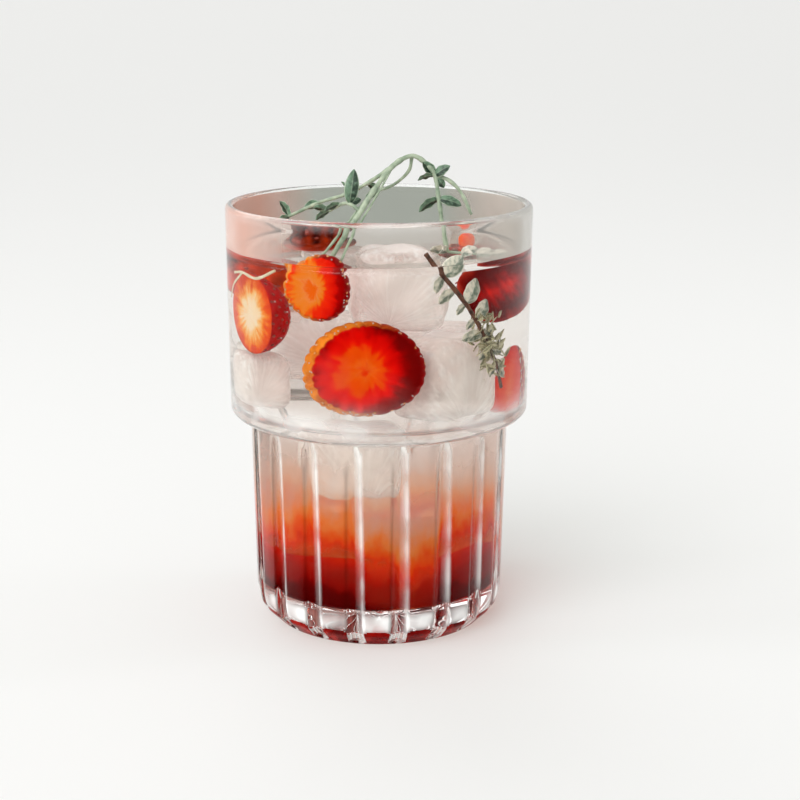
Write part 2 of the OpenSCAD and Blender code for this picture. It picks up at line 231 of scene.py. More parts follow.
# %% Skins
def skin(rings, start=None, end=None, finish=0, **fields):
    """A closed surface over rings of points (rows, columns, 3), with a fan to a point at each end.

    Neighbouring rings are joined by quads. Rings that turn anticlockwise about the way they run
    give faces that point outwards. An end that isn't given lies at the middle of its ring. Fields
    are values per ring point that a material can read.
    """
    rows, columns = rings.shape[:2]
    start = rings[0].mean(0) if start is None else start
    end = rings[-1].mean(0) if end is None else end
    row = np.arange(rows - 1)[:, None] * columns
    here = np.arange(columns)[None, :]
    after = (here + 1) % columns
    quads = np.stack([row + here, row + after, row + columns + after, row + columns + here], -1)
    quads = quads.reshape(-1, 4)
    first = np.stack([np.full(columns, rows * columns), after[0], here[0]], -1)
    top = (rows - 1) * columns
    last = np.stack([top + here[0], top + after[0], np.full(columns, rows * columns + 1)], -1)
    values = {}
    for name, value in fields.items():
        value = np.asarray(value, float)
        value = np.broadcast_to(value, (rows, columns) + value.shape[2:])
        ends = [value[0].mean(0).reshape(-1), value[-1].mean(0).reshape(-1)]
        values[name] = np.concatenate([value.reshape(rows * columns, -1), ends])
    return {
        "points": np.concatenate([rings.reshape(-1, 3), [start, end]]), "quads": quads,
        "fans": np.concatenate([first, last]), "values": values,
        "finish": np.full(len(quads) + 2 * columns, finish)}


# %% Pieces
def join_skins(name, skins, finishes, body, node):
    """Join skins, in millimetres, into one piece that rides on a body and stands for a node.

    The mesh has the quads of all skins first and then their fans, and the finishes follow that order.
    """
    offset = np.cumsum([0] + [len(s["points"]) for s in skins])
    points = np.concatenate([s["points"] for s in skins]) * MM
    quads = np.concatenate([s["quads"] + o for s, o in zip(skins, offset)])
    fans = np.concatenate([s["fans"] + o for s, o in zip(skins, offset)])
    faces = quads.tolist() + fans.tolist()
    slots = [s["finish"][:len(s["quads"])] for s in skins] + [s["finish"][len(s["quads"]):] for s in skins]
    mesh = bpy.data.meshes.new(name)
    mesh.from_pydata(points.tolist(), [], faces)
    mesh.polygons.foreach_set("material_index", np.concatenate(slots).astype(np.int32))
    mesh.polygons.foreach_set("use_smooth", np.ones(len(faces), bool))
    for field in sorted({f for s in skins for f in s["values"]}):
        size = max(s["values"][field].shape[1] for s in skins if field in s["values"])
        rows = [s["values"].get(field, np.zeros((len(s["points"]), size))) for s in skins]
        kind, key = ("FLOAT", "value") if size == 1 else ("FLOAT_VECTOR", "vector")
        store = mesh.attributes.new(field, kind, "POINT")
        store.data.foreach_set(key, np.concatenate(rows).astype(np.float32).ravel())
    for finish in finishes:
        mesh.materials.append(finish)
    piece = bpy.data.objects.new(name, mesh)
    bpy.context.collection.objects.link(piece)
    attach(piece, body)
    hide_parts(node)
    print("%s: %d points, %d faces" % (name, len(points), len(faces)))


# %% Curves and fields
def arc(cx, cz, rx, rz, start, stop, count):
    """Points of an elliptic arc in the (radius, height) plane, from one angle in degrees to another."""
    a = np.radians(np.linspace(start, stop, count))
    return np.stack([cx + rx * np.cos(a), cz + rz * np.sin(a)], -1)


def line(start, stop, count):
    """Points of a straight stretch of a profile, without its last point."""
    return np.linspace(start, stop, count, endpoint=False)


def level(start, stop, z, count):
    """Points of a flat stretch of a profile at a height, from one radius to another."""
    return np.stack([np.linspace(start, stop, count), np.full(count, z)], -1)


def turned(profile, angles):
    """Turn a profile of (radius, height) points about Z."""
    r, z = profile[:, :1], profile[:, 1:]
    return xyz(r * np.cos(angles), r * np.sin(angles), z)


def unit(vectors):
    """Vectors with their length made one."""
    return vectors / np.linalg.norm(vectors, axis=-1, keepdims=True)


def bell(x, width, power=2):
    """A smooth bump: exp of minus (x / width) to a power, which is one at zero and fades out."""
    return np.exp(-(x / width) ** power)


def ripple(points, wave, seed):
    """A smooth uneven field from about -1 to 1: ten sine waves of about one length, at random ways."""
    rng = np.random.default_rng(seed)
    way = rng.normal(size=(10, 3))
    way *= 2 * np.pi / wave * rng.uniform(0.6, 1.5, (10, 1)) / np.linalg.norm(way, axis=1, keepdims=True)
    phase = rng.uniform(0, 2 * np.pi, 10)
    return np.sin(points @ way.T + phase).sum(-1) / 3.2


# %% [markdown]
# ## The pressed glass
# A tumbler like this is pressed from one gob of hot glass: a plunger makes the inside, a mould the
# outside with its flutes and stacking ledge, and a flame then melts the lip round. It is a profile
# turned about the upright axis. The flutes are pressed into that surface as a round bar would press
# them, and the arrises between flute and panel are left a little soft, as the flame leaves them.

# %% Sizes of the glass, in millimetres
RIM_R, RIM_Z, WALL = 43.0, 120.0, 2.6
BOWL_R, LEDGE_Z, LEDGE_RISE = 42.4, 59.3, 3.4
NECK_R, HEEL_R, HEEL_Z, FOOT_R = 36.8, 35.75, 10.5, 30.0
FLOOR_Z, NECK_IN_R, FLOOR_IN_R, STEP_Z = 10.0, 33.0, 31.8, 62.5
STEP_RISE, STEP_ROUND, FLOOR_ROUND, NECK_ROUND = 6, 2, 4, 0.8
RECESS, RECESS_R = 0.8, 26.0
DRINK_Z, SYRUP_Z = 107.0, 25.0
MENISCUS, MENISCUS_W = 1.2, 1.5
WET_Z = DRINK_Z + MENISCUS
FLUTES, FLUTE_TURN = 18, math.radians(99)
FLUTE_TOOL, FLUTE_TOP_Z, FLUTE_TIP = 2.6, 55.2, 8.0
FLUTE_DEEP, FLUTE_SHALLOW = 1.35, 0.8
FLARE_TOOL, FLARE_DEEP = 3.4, 0.9
BEVEL_R, FOOT_TOP_Z, FOOT_RING_R = 30.6, 5.4, 29.6
# The band of painted highlight on the panels at the heel: its height and its width
HEEL_HIGHLIGHT_Z, HEEL_HIGHLIGHT_W = 8, 2.6
FLUTE_COLUMNS, PANEL_COLUMNS = 13, 8
ARRIS = 0.1
AROUND = circle(216)
print("the rim is %.2f times as wide as the glass is tall" % (2 * RIM_R / RIM_Z))


# %% Profiles of the glass
def soft_least(a, b, blend):
    """The smaller of two numbers, rounded off where they cross."""
    return np.minimum(a, b) - blend * np.log1p(np.exp(-np.abs(a - b) / blend))


def inside_profile(gap):
    """Inside of the glass from the bowl down to the floor, moved out of the drink by a gap."""
    bowl_in, bowl_z, lip_z = BOWL_R - WALL + gap, STEP_Z + STEP_RISE, RIM_Z - WALL / 2
    wet_r = bowl_in + (WET_Z - bowl_z) / (lip_z - bowl_z) * (RIM_R - BOWL_R)
    step_r = NECK_IN_R + STEP_ROUND
    return np.concatenate([
        line((RIM_R - WALL + gap, lip_z), (wet_r, WET_Z), 6),
        line((wet_r, WET_Z), (bowl_in, bowl_z), 20),
        arc(step_r, bowl_z, bowl_in - step_r, STEP_RISE + gap, 0, -90, 12)[:-1],
        arc(step_r, STEP_Z - STEP_ROUND, STEP_ROUND - gap, STEP_ROUND - gap, 90, 180, 7)[:-1],
        line((NECK_IN_R + gap, STEP_Z - STEP_ROUND), (FLOOR_IN_R + gap, FLOOR_Z + FLOOR_ROUND), 18),
        arc(FLOOR_IN_R - FLOOR_ROUND, FLOOR_Z + FLOOR_ROUND, FLOOR_ROUND + gap, FLOOR_ROUND + gap, 0, -90, 9),
        level(26, 3, FLOOR_Z - gap, 7)])


def outside_profile():
    """Outside of the glass from the recess under the base up to the lip, with a bevel at the foot."""
    heel = arc(FOOT_R, HEEL_Z, HEEL_R - FOOT_R, HEEL_Z, -88, 0, 36)[:-1]
    heel[:, 0] = soft_least(heel[:, 0], BEVEL_R + heel[:, 1], ARRIS)
    neck_z, bowl_z, lip_z = LEDGE_Z - NECK_ROUND, LEDGE_Z + LEDGE_RISE, RIM_Z - WALL / 2
    return np.concatenate([
        level(3, RECESS_R - 1.4, RECESS, 6),
        arc(RECESS_R, RECESS, 0.9, RECESS, 180, 270, 5),
        level(RECESS_R + 0.8, FOOT_R - 0.6, 0, 4),
        heel,
        line((HEEL_R, HEEL_Z), (NECK_R, neck_z), 52),
        arc(NECK_R + NECK_ROUND, neck_z, NECK_ROUND, NECK_ROUND, 180, 98, 6),
        arc(NECK_R, bowl_z, BOWL_R - NECK_R, LEDGE_RISE, -80, 0, 16)[:-1],
        line((BOWL_R, bowl_z), (RIM_R, lip_z), 28),
        arc(RIM_R - WALL / 2, lip_z, WALL / 2, WALL / 2, 0, 180, 15)[:-1]])


INSIDE = inside_profile(0.0)[::-1]
print("profile of the glass: %d points outside, %d inside" % (len(outside_profile()), len(INSIDE)))


# %% Flutes
def glass_rings():
    """Turn the profile about Z, then press the flutes into it.

    Around the glass, some columns span each flute and follow its width, and others span the panel
    beside it. A bar of radius t that is pressed d deep into the wall moves it in, along its normal, by
    sqrt(t*t - x*x) - (t - d) at a distance x from the middle of the flute. The bar is thicker round
    the heel, so the flutes flare there. Two fields of painted light come with the points: a painted
    highlight on one edge of each flute, on the panels at the heel, on the ledge and on the lip, and
    painted shade on the other edge of each flute. The depth of the flutes comes too, and is below
    zero on the panels.
    """
    outside = outside_profile()
    profile = np.concatenate([outside, inside_profile(0.0)])
    radius, height = profile[:, :1], profile[:, 1:]
    low = (np.arange(len(profile)) < len(outside))[:, None] & (height < LEDGE_Z) & (height > 0.1)
    half = np.interp(height, [0, 2, HEEL_Z, FLUTE_TOP_Z], [2.5, 2.5, 2.35, 1.9])
    half = np.minimum(half / radius, math.pi / FLUTES * 0.6)
    pitch = 2 * math.pi / FLUTES
    across = np.linspace(-1, 1, FLUTE_COLUMNS)[None, :] * half
    share = np.arange(1, PANEL_COLUMNS + 1) / (PANEL_COLUMNS + 1)
    beside = half + (pitch - 2 * half) * share[None, :]
    offset = np.concatenate([across, beside], 1)
    angle = FLUTE_TURN + pitch * np.arange(FLUTES)[None, :, None] + offset[:, None, :]
    angle = angle.reshape(len(profile), -1)
    offset = np.tile(np.where(offset > pitch / 2, offset - pitch, offset), (1, FLUTES))
    x = radius * np.sin(offset)

    bar = np.interp(height, [2, HEEL_Z], [FLARE_TOOL, FLUTE_TOOL])
    deep = np.interp(height, [0.1, 1.2, HEEL_Z, FLUTE_TOP_Z], [0, FLARE_DEEP, FLUTE_DEEP, FLUTE_SHALLOW])
    tip = bar * (1 - np.clip((height - FLUTE_TOP_Z) / FLUTE_TIP, 0, 1) ** 2)
    depth = np.sqrt(np.maximum(tip ** 2 - x ** 2, 0)) - (bar - deep)
    depth = np.where(low, depth, -9)
    # Painted highlight: the side of each flute towards the light, the step, the lip and the heel panels turn
    # white
    lit = bell(depth, np.where(depth > 0, 0.8, 0.3)) * (x > 0)
    lit = lit + 0.6 * bell(height - STEP_Z - 2, 4) + 0.5 * bell(height - RIM_Z, 1.5)
    lit = lit + 1.5 * bell(height - HEEL_HIGHLIGHT_Z, HEEL_HIGHLIGHT_W, 4) * (low & (depth < 0))
    # Painted shade: the other side of each flute is darkened, fading out towards the flute's top
    shaded = bell(depth, 0.45) * (x < 0) * np.clip((FLUTE_TOP_Z - height) / 4, 0, 1)
    push = ARRIS * np.logaddexp(0, depth / ARRIS)
    run = np.gradient(profile, axis=0)
    run /= np.maximum(np.linalg.norm(run, axis=1, keepdims=True), 1e-6)
    wall = radius - push * run[:, 1:]
    height = height + push * run[:, :1]
    return xyz(wall * np.cos(angle), wall * np.sin(angle), height), lit, shaded, depth


# %% [markdown]
# Soda-lime glass bends light by about 1.5 against air, but by only 1.5 / 1.333 against water and
# hardly at all against syrup. So the inside of the glass has three finishes: dry over the waterline,
# with painted shade and a painted reflection, wet below it, and wet with syrup at the bottom. Pressing
# and flame-polishing leave the glass smooth with faint waves. The bevel of the foot has a finish of its
# own, because there the thick base shows the syrup above it.

# %% Glass finishes
GLASS_IOR, WATER_IOR, SYRUP_IOR = 1.5, 1.333, 1.49
DIM_MIRROR, LAMP_TINT = "#343434", "#F1F4F2"


def pressed_glass(name, ior, cast):
    """Soda-lime glass: clear, a faint grey cast, slow waves left by the press.

    A painted highlight turns the lit places white in patches, and painted shade darkens the arrises in the
    shade.
    """
    material, tree, place = new_finish(name)
    waves = add(tree, "TexNoise", {"Vector": place, "Scale": 1 / (9 * MM), "Detail": 1.0})
    bump = add(tree, "Bump", {"Height": waves, "Strength": 0.06, "Distance": 0.4 * MM})
    # Painted highlight: in patches, the lit field takes clearness away, so the near-white base colour shows
    lit = add(tree, "Attribute", attribute_name="lit_edge")
    shaded = add(tree, "Attribute", attribute_name="shaded_edge")
    patches = add(tree, "MapRange", {
        "Value": waves, "From Min": 0.35, "From Max": 0.62, "To Min": -0.2, "To Max": -0.6})
    clear = add(tree, "Math", {0: lit, 1: patches, 2: 1.0}, operation="MULTIPLY_ADD")
    # Painted shade: the shaded field mixes a dark grey into the base colour
    darker = add(tree, "Math", {0: shaded, 1: 0.6}, operation="MULTIPLY")
    colour = add(tree, "Mix", {0: darker, 6: linear(cast), 7: linear("#5C625E")}, data_type="RGBA")
    glass = add(tree, "BsdfPrincipled", {
        "Base Color": colour, "Roughness": 0.0, "IOR": ior, "Specular Tint": linear(DIM_MIRROR),
        "Transmission Weight": clear, "Normal": bump})
    show(tree, glass, LAMP_TINT)
    return material


# %% Misted glass, and glass over syrup
def dry_glass_painted_shade():
    """The dry inside over the drink: painted shade greys it unevenly towards the far side, and a painted
    reflection clouds its sides, pink at the left and grey at the right.
    """
    material, tree, place = new_finish("dry glass with painted shade")
    axes = add(tree, "SeparateXYZ", {0: place})
    # Painted shade: the glass turns grey towards the far side (+Y), made uneven by noise
    shade_noise = add(tree, "TexNoise", {"Vector": place, "Scale": 1 / (16 * MM), "Detail": 4.0})
    uneven = add(tree, "Math", {0: shade_noise, 1: 12 * MM, 2: axes.outputs["Y"]}, operation="MULTIPLY_ADD")
    share = add(tree, "MapRange", {"Value": uneven, "From Min": 0.0, "From Max": 38 * MM})
    grey = add(tree, "ValToRGB", {"Fac": share}, stops=[(0.0, "#F5F2EF"), (1.0, "#767B70")])
    # Painted reflection: towards both sides the glass loses clearness and turns pink at the left, grey at the
    # right
    across = add(tree, "MapRange", {
        "Value": axes.outputs["X"], "From Min": -RIM_R * MM, "From Max": RIM_R * MM})
    stain_and_painted_reflection = add(tree, "ValToRGB", {"Fac": across}, stops=[(0.0, "#E08E72"), (1.0, "#B8B0A6")])
    apart = add(tree, "Math", {0: axes.outputs["X"]}, operation="ABSOLUTE")
    painted_side_reflection = add(tree, "MapRange", {
        "Value": apart, "From Min": 19 * MM, "From Max": 35 * MM, "To Max": 0.75})
    colour = add(tree, "Mix", {0: painted_side_reflection, 6: grey, 7: stain_and_painted_reflection}, data_type="RGBA")
    clear = add(tree, "Math", {0: 1.0, 1: painted_side_reflection}, operation="SUBTRACT")
    glass = add(tree, "BsdfPrincipled", {
        "Base Color": colour, "Roughness": 0.05, "IOR": GLASS_IOR, "Specular Tint": linear(DIM_MIRROR),
        "Transmission Weight": clear})
    show(tree, glass, LAMP_TINT)
    return material


def glass_over_syrup():
    """The bevel under the heel: it turns the eye up into the syrup, so it shows dark red all round."""
    material, tree, place = new_finish("glass over syrup")
    cloud = add(tree, "TexNoise", {"Vector": place, "Scale": 1 / (7 * MM), "Detail": 3.0})
    red = add(tree, "ValToRGB", {"Fac": cloud}, stops=[(0.35, "#5C0404"), (0.7, "#C81208")])
    glass = add(tree, "BsdfPrincipled", {
        "Base Color": red, "Roughness": 0.1, "IOR": 1.1, "Transmission Weight": 0.5})
    show(tree, glass, "#F1E8E6")
    return material


# %% The glass as a piece
rings, lit_edge, shaded_edge, flute = glass_rings()
glass = skin(rings, (0, 0, RECESS), (0, 0, FLOOR_Z), lit_edge=lit_edge, shaded_edge=shaded_edge)
middle = glass["points"][glass["quads"]].mean(1)
from_axis, height = np.hypot(middle[:, 0], middle[:, 1]), middle[:, 2]
inner = from_axis < np.interp(height, INSIDE[:, 1], INSIDE[:, 0]) + 0.1
wet = inner & (height > FLOOR_Z - 0.1) & (height < WET_Z)
dry_inside = inner & (height > WET_Z)
sweet = wet & (height < SYRUP_Z)
foot = (height > 0.15) & (height < FOOT_TOP_Z) & (from_axis > FOOT_RING_R)
foot &= flute.ravel()[glass["quads"]].max(1) < -0.1
on_floor = np.arange(len(glass["fans"])) >= len(glass["fans"]) // 2
glass["finish"] = np.concatenate([wet + 2 * dry_inside + 2 * sweet + 4 * foot, 3 * on_floor])
glass_finishes = [
    pressed_glass("pressed glass", GLASS_IOR, "#F9FBFA"),
    pressed_glass("wet glass", GLASS_IOR / WATER_IOR, "#FCFDFC"),
    dry_glass_painted_shade(),
    pressed_glass("glass wet with syrup", GLASS_IOR / SYRUP_IOR, "#FCFDFC"),
    glass_over_syrup()]
print("glass finishes:", [finish.name for finish in glass_finishes])
join_skins("glass_tumbler", [glass], glass_finishes, "glass", "tumbler")

# %% [markdown]
# ## The drink
# The drink wets the glass, so no air lies between them, and the wet glass has already bent the light
# for it. Its own sides then only stain the light, and its top is the one face that bends and mirrors
# it. The top climbs the wall in a small curve. The red of the syrup fades upwards through orange
# and pink until the drink is clear.

# %% Soda and syrup finishes
FILM, SYRUP_FILM = 0.06, 0.4
LIFT, SEED_LIFT, CLOUD_LIFT = 7.0, 401, 5.0
STAIN_TOP = 80


def panel_lift(angles):
    """How much higher, in mm, the fruit pulp stands behind each panel of the glass: one draw a panel."""
    lift = LIFT * np.random.default_rng(SEED_LIFT).uniform(-1, 1, FLUTES)
    knots = (np.arange(FLUTES)[:, None] + [0.08, 0.92]).ravel()
    place = (angles - FLUTE_TURN) * FLUTES / (2 * np.pi)
    return np.interp(place, knots, np.repeat(lift, 2), period=FLUTES)


def height_share(tree, place, clouds, least, most, top):
    """How high a point lies, from 0 at the floor to 1 at a top, moved by clouds and by its panel's lift.

    The clouds are noise, and its stretch from least to most moves a point by 5 mm down to 5 mm up.
    """
    axes = add(tree, "SeparateXYZ", {0: place})
    noise = add(tree, "TexNoise", clouds)
    shift = add(tree, "MapRange", {
        "Value": noise, "From Min": least, "From Max": most,
        "To Min": -CLOUD_LIFT * MM, "To Max": CLOUD_LIFT * MM})
    lift = add(tree, "Attribute", attribute_name="lift")
    lower = add(tree, "Math", {0: lift, 1: -MM, 2: shift}, operation="MULTIPLY_ADD")
    moved = add(tree, "Math", {0: axes.outputs["Z"], 1: lower}, operation="ADD")
    return add(tree, "MapRange", {"Value": moved, "From Min": FLOOR_Z * MM, "From Max": top * MM})


def soda_water(name, ior):
    """Sweet soda water: clear above, stained and cloudy with pulp over the syrup. Height sets both."""
    material, tree, place = new_finish(name)
    upright = add(tree, "Mapping", {"Vector": place, "Scale": (1.0, 1.0, 0.5)})
    clouds = {"Vector": upright, "Scale": 1 / (10 * MM), "Detail": 7.0, "Roughness": 0.62}
    share = height_share(tree, place, clouds, 0.3, 0.7, STAIN_TOP)
    stain_and_painted_reflection = add(tree, "ValToRGB", {"Fac": share}, stops=[
        (0.0, "#8C1008"), (0.03, "#E06444"), (0.10, "#F08458"), (0.16, "#EC5A30"), (0.21, "#E43210"),
        (0.25, "#F05A1C"), (0.30, "#F68844"), (0.36, "#EAA682"), (0.44, "#E4C0B0"), (0.56, "#E9D2C9"),
        (0.72, "#F0E2DD"), (1.0, "#F8F0ED")])
    pulp = add(tree, "ValToRGB", {"Fac": share}, stops=[
        (0.0, "#101010"), (0.15, "#404040"), (0.22, "#D0D0D0"), (0.30, "#C0C0C0"), (0.45, "#A8A8A8"),
        (0.60, "#7C7C7C"), (0.76, "#404040"), (1.0, "#000000")])
    clear = add(tree, "Math", {0: 1.0, 1: pulp}, operation="SUBTRACT")
    water = add(tree, "BsdfPrincipled", {
        "Base Color": stain_and_painted_reflection, "Roughness": 0.0, "IOR": ior, "Transmission Weight": clear})
    show(tree, water, "#FBF8F7")
    return material


def fruit_syrup(name, reds):
    """Strained strawberry syrup: dark red in depth, paler where it thins out at its top."""
    material, tree, place = new_finish(name)
    clouds = {"Vector": place, "Scale": 1 / (9 * MM), "Detail": 6.0, "Roughness": 0.6}
    red = add(tree, "ValToRGB", {"Fac": height_share(tree, place, clouds, 0.0, 1.0, SYRUP_Z)}, stops=reds)
    syrup = add(tree, "BsdfPrincipled", {
        "Base Color": red, "Roughness": 0.25, "IOR": 1.02, "Transmission Weight": 0.5})
    show(tree, syrup, "#E8A898")
    return material


drink_finishes = [soda_water("soda water", 1.0), soda_water("soda water, open top", WATER_IOR)]
syrup_finishes = [
    fruit_syrup("strawberry syrup", [
        (0.0, "#880000"), (0.5, "#B40000"), (0.72, "#DC0E00"), (0.88, "#FA3C00"), (1.0, "#FF7A18")]),
    fruit_syrup("pulp on the syrup", [(0.6, "#E8702C"), (1.0, "#F4A878")])]
print("drink finishes:", [finish.name for finish in drink_finishes + syrup_finishes])


# %% Soda and syrup as pieces
def drink_rings():
    """The inside of the glass up to the drink's level, then the surface with its curve at the wall.

    That curve stands above the level by the height of the meniscus times exp of minus the distance
    from the wall over the meniscus's width.
    """
    wall = inside_profile(-FILM)[::-1]
    wall = wall[wall[:, 1] < DRINK_Z - 0.5]
    edge = np.interp(DRINK_Z, INSIDE[:, 1], INSIDE[:, 0]) - FILM
    r = edge - np.concatenate([np.linspace(0, 5, 16), np.linspace(7, edge - 3, 12)])
    top = np.stack([r, DRINK_Z + MENISCUS * np.exp((r - edge) / MENISCUS_W)], -1)
    return turned(np.concatenate([wall, top]), AROUND), len(wall) - 1


def syrup_rings():
    """The floor of the glass up to the syrup's level, with an uneven top, just inside the drink."""
    wall = inside_profile(-SYRUP_FILM)[::-1]
    wall = wall[wall[:, 1] < SYRUP_Z - 1]
    edge = wall[-1, 0]
    r = edge - np.concatenate([[0.3, 1, 2], np.linspace(4, edge - 2, 14)])
    rings = turned(np.concatenate([wall, np.stack([r, np.full(len(r), SYRUP_Z)], -1)]), AROUND)
    rings[len(wall):, :, 2] += 0.9 * ripple(rings[len(wall):], 22, 5)
    return rings, len(wall) + 1


def pour(name, rings, wall_rows, film, top, lift_share, finishes, node, slot):
    """A liquid from the floor to a level: its walls get the first finish and its top the second."""
    lift = lift_share * panel_lift(AROUND)[None, :]
    liquid = skin(rings, (0, 0, FLOOR_Z + film), (0, 0, top), lift=lift)
    is_top = np.arange(len(liquid["quads"])) >= wall_rows * len(AROUND)
    liquid["finish"] = np.concatenate([is_top, np.arange(len(liquid["fans"])) >= len(AROUND)])
    join_skins(name, [liquid], finishes, "glass", node)


pour("soda_drink", *drink_rings(), FILM, DRINK_Z, 1.0, drink_finishes, "soda", "soda_water")
pour("syrup_layer", *syrup_rings(), SYRUP_FILM, SYRUP_Z, 0.7, syrup_finishes, "syrup", "strawberry_syrup")

# %% [markdown]
# ## The ice
# Ice in a drink has lost its corners, and is clear at its skin and cloudy at its heart, where the
# air was caught as it froze from the outside. The trapped air lies in fine needles. A block is a
# rounded box: a ball whose points are pushed out until they meet the faces of a box, then melted
# unevenly. Ice bends light nearly as water does, so in the drink it hardly bends it at all.

# %% Ice finish
def cloudy_ice():
    """Home-made ice: clear edges, white needles of trapped air that fan out, cloudy at the heart."""
    material, tree, place = new_finish("cloudy ice")
    needle = add(tree, "Attribute", attribute_name="needle")
    streaks = add(tree, "TexNoise", {"Vector": needle.outputs["Vector"], "Scale": 1.0, "Detail": 2.0})
    heart = add(tree, "Attribute", attribute_name="heart")
    blotch = add(tree, "TexNoise", {"Vector": place, "Scale": 1 / (9 * MM), "Detail": 4.0})
    depth = add(tree, "Math", {0: blotch, 1: 1.2, 2: heart}, operation="MULTIPLY_ADD")
    cloud = add(tree, "MapRange", {
        "Value": depth, "From Min": 0.55, "From Max": 1.5, "To Min": 0.95, "To Max": 0.2})
    lines = add(tree, "MapRange", {
        "Value": streaks, "From Min": 0.45, "From Max": 0.8, "To Min": 0.0, "To Max": 0.6})
    outer = add(tree, "Math", {0: heart, 1: -0.85, 2: 1.0}, operation="MULTIPLY_ADD")
    lines = add(tree, "Math", {0: lines, 1: outer}, operation="MULTIPLY")
    clear = add(tree, "Math", {0: cloud, 1: lines}, operation="SUBTRACT")
    bump = add(tree, "Bump", {"Height": streaks, "Strength": 0.15, "Distance": 0.3 * MM})
    white = add(tree, "ValToRGB", {"Fac": lines}, stops=[(0.0, "#FFF4F0"), (0.4, "#FFFFFF")])
    ice = add(tree, "BsdfPrincipled", {
        "Base Color": white, "Roughness": 0.2, "IOR": 1.02, "Transmission Weight": clear, "Normal": bump})
    show(tree, ice, "#F6F6F7")
    return material


# %% Ice blocks
# A block: the place of its middle, its size and its turn about Z in degrees
ICE_BLOCKS = {
    "ice_neck": ((-6, -12.4, 50.5), (24, 24, 20), 4),
    "ice_right": ((15.4, -14.6, 74.6), (21, 21, 24), 43),
    "ice_centre": ((4.4, -10, 98.2), (22, 22, 22), 6),
    "ice_left": ((-27.6, -6.5, 71.9), (14, 15, 16), 12),
    "ice_back_left": ((-13, 18.2, 79), (20, 20, 20), 3),
    "ice_back_right": ((8.8, 18.6, 75), (19, 19, 20), -5),
}
SQUARENESS, NEEDLES = 5, 11


def turn(points, x, y, z):
    """Turn points about X, then about Y, then about Z, by angles in degrees."""
    way = Matrix.Identity(3)
    for axis, degrees in (("X", x), ("Y", y), ("Z", z)):
        way = Matrix.Rotation(math.radians(degrees), 3, axis) @ way
    return points @ np.array(way).T


def ball(steps_up, steps_round, steep):
    """Rings of points on a ball of radius one, from -steep to steep degrees of latitude."""
    v = np.radians(np.linspace(-steep, steep, steps_up))[:, None]
    u = circle(steps_round)[None, :]
    return xyz(np.cos(v) * np.cos(u), np.cos(v) * np.sin(u), np.sin(v))


def rounded_box(size, power, seed):
    """A ball's points moved out to |x/a|^p + |y/b|^p + |z/c|^p = 1, then melted unevenly."""
    rings = ball(72, 112, 88)
    half = np.array(size) / 2
    rings = rings / (np.abs(rings / half) ** power).sum(-1, keepdims=True) ** (1 / power)
    return rings * (0.975 + 0.03 * ripple(rings, 11, seed)[..., None])


ice_finish = cloudy_ice()
for seed, (name, (place, size, about_z)) in enumerate(ICE_BLOCKS.items()):
    local = rounded_box(size, SQUARENESS, seed)
    source = np.array(size) * np.random.default_rng(seed).uniform((-0.3, 0, -0.6), (0.3, 0, -0.3))
    ray = local - source
    round_y = np.arctan2(ray[..., 0], ray[..., 2])
    along = 0.14 * np.hypot(ray[..., 0], ray[..., 2]) + 0.35 * local[..., 1] + 7 * seed
    needle = xyz(NEEDLES * np.cos(round_y), NEEDLES * np.sin(round_y), along)
    heart = 1 - np.sort(np.abs(local) * 2 / size, axis=-1)[..., 1] ** 2
    block = skin(turn(local, 0, 0, about_z) + np.array(place), needle=needle, heart=heart)
    join_skins(name + "_block", [block], [ice_finish], name, name)

# %% [markdown]
# ## Strawberries: the finish
# A cut strawberry shows a pale core, fibres that run from it to the seeds, and a red rim. Wet flesh
# lets light in and scatters it, so a slice with light behind it glows. The points of each cut carry
# four fields that the finish reads: how far out they lie, whether they are skin, how ripe they are
# and the way of the fibres. On the slices the ripeness field also carries painted shade, which darkens
# their right side.

# %% Strawberry flesh
def strawberry(name, flesh, peel_dark, peel_light):
    """Wet strawberry: flesh coloured from core to rim along its fibres, mottled shiny skin."""
    material, tree, place = new_finish(name)
    ring = add(tree, "Attribute", attribute_name="ring")
    peel = add(tree, "Attribute", attribute_name="peel")
    ripe = add(tree, "Attribute", attribute_name="ripe")
    fibre = add(tree, "Attribute", attribute_name="fibre")
    threads = add(tree, "TexNoise", {"Vector": fibre.outputs["Vector"], "Scale": 1.0, "Detail": 2.0})
    mottle = add(tree, "TexNoise", {"Vector": place, "Scale": 1 / (3 * MM), "Detail": 3.0})
    both = add(tree, "Math", {0: threads, 1: mottle}, operation="ADD")
    spread = add(tree, "MapRange", {
        "Value": both, "From Min": 0.65, "From Max": 1.35, "To Min": -0.2, "To Max": 0.2})
    reach = add(tree, "Math", {0: ring, 1: spread}, operation="ADD")
    # The ripeness field, which is painted shade on the slices, moves the flesh towards the dark rim colours
    # and darkens the skin
    reach = add(tree, "Math", {0: ripe, 1: 0.6, 2: reach}, operation="MULTIPLY_ADD")
    reach = add(tree, "Math", {0: reach, 1: 1 / 1.3}, operation="MULTIPLY")
    cut = add(tree, "ValToRGB", {"Fac": reach}, stops=flesh)
    side = add(tree, "Math", {0: mottle, 1: ripe}, operation="SUBTRACT")
    outside = add(tree, "ValToRGB", {"Fac": side}, stops=[(0.0, peel_dark), (0.65, peel_light)])
    colour = add(tree, "Mix", {0: peel, 6: cut, 7: outside}, data_type="RGBA")
    bump = add(tree, "Bump", {"Height": threads, "Strength": 0.35, "Distance": 0.4 * MM})
    show(tree, add(tree, "BsdfPrincipled", {
        "Base Color": colour, "Roughness": 0.3, "IOR": 1.06, "Subsurface Weight": 0.35,
        "Subsurface Radius": (1.0, 0.35, 0.12), "Subsurface Scale": 2.5 * MM, "Normal": bump}))
    return material


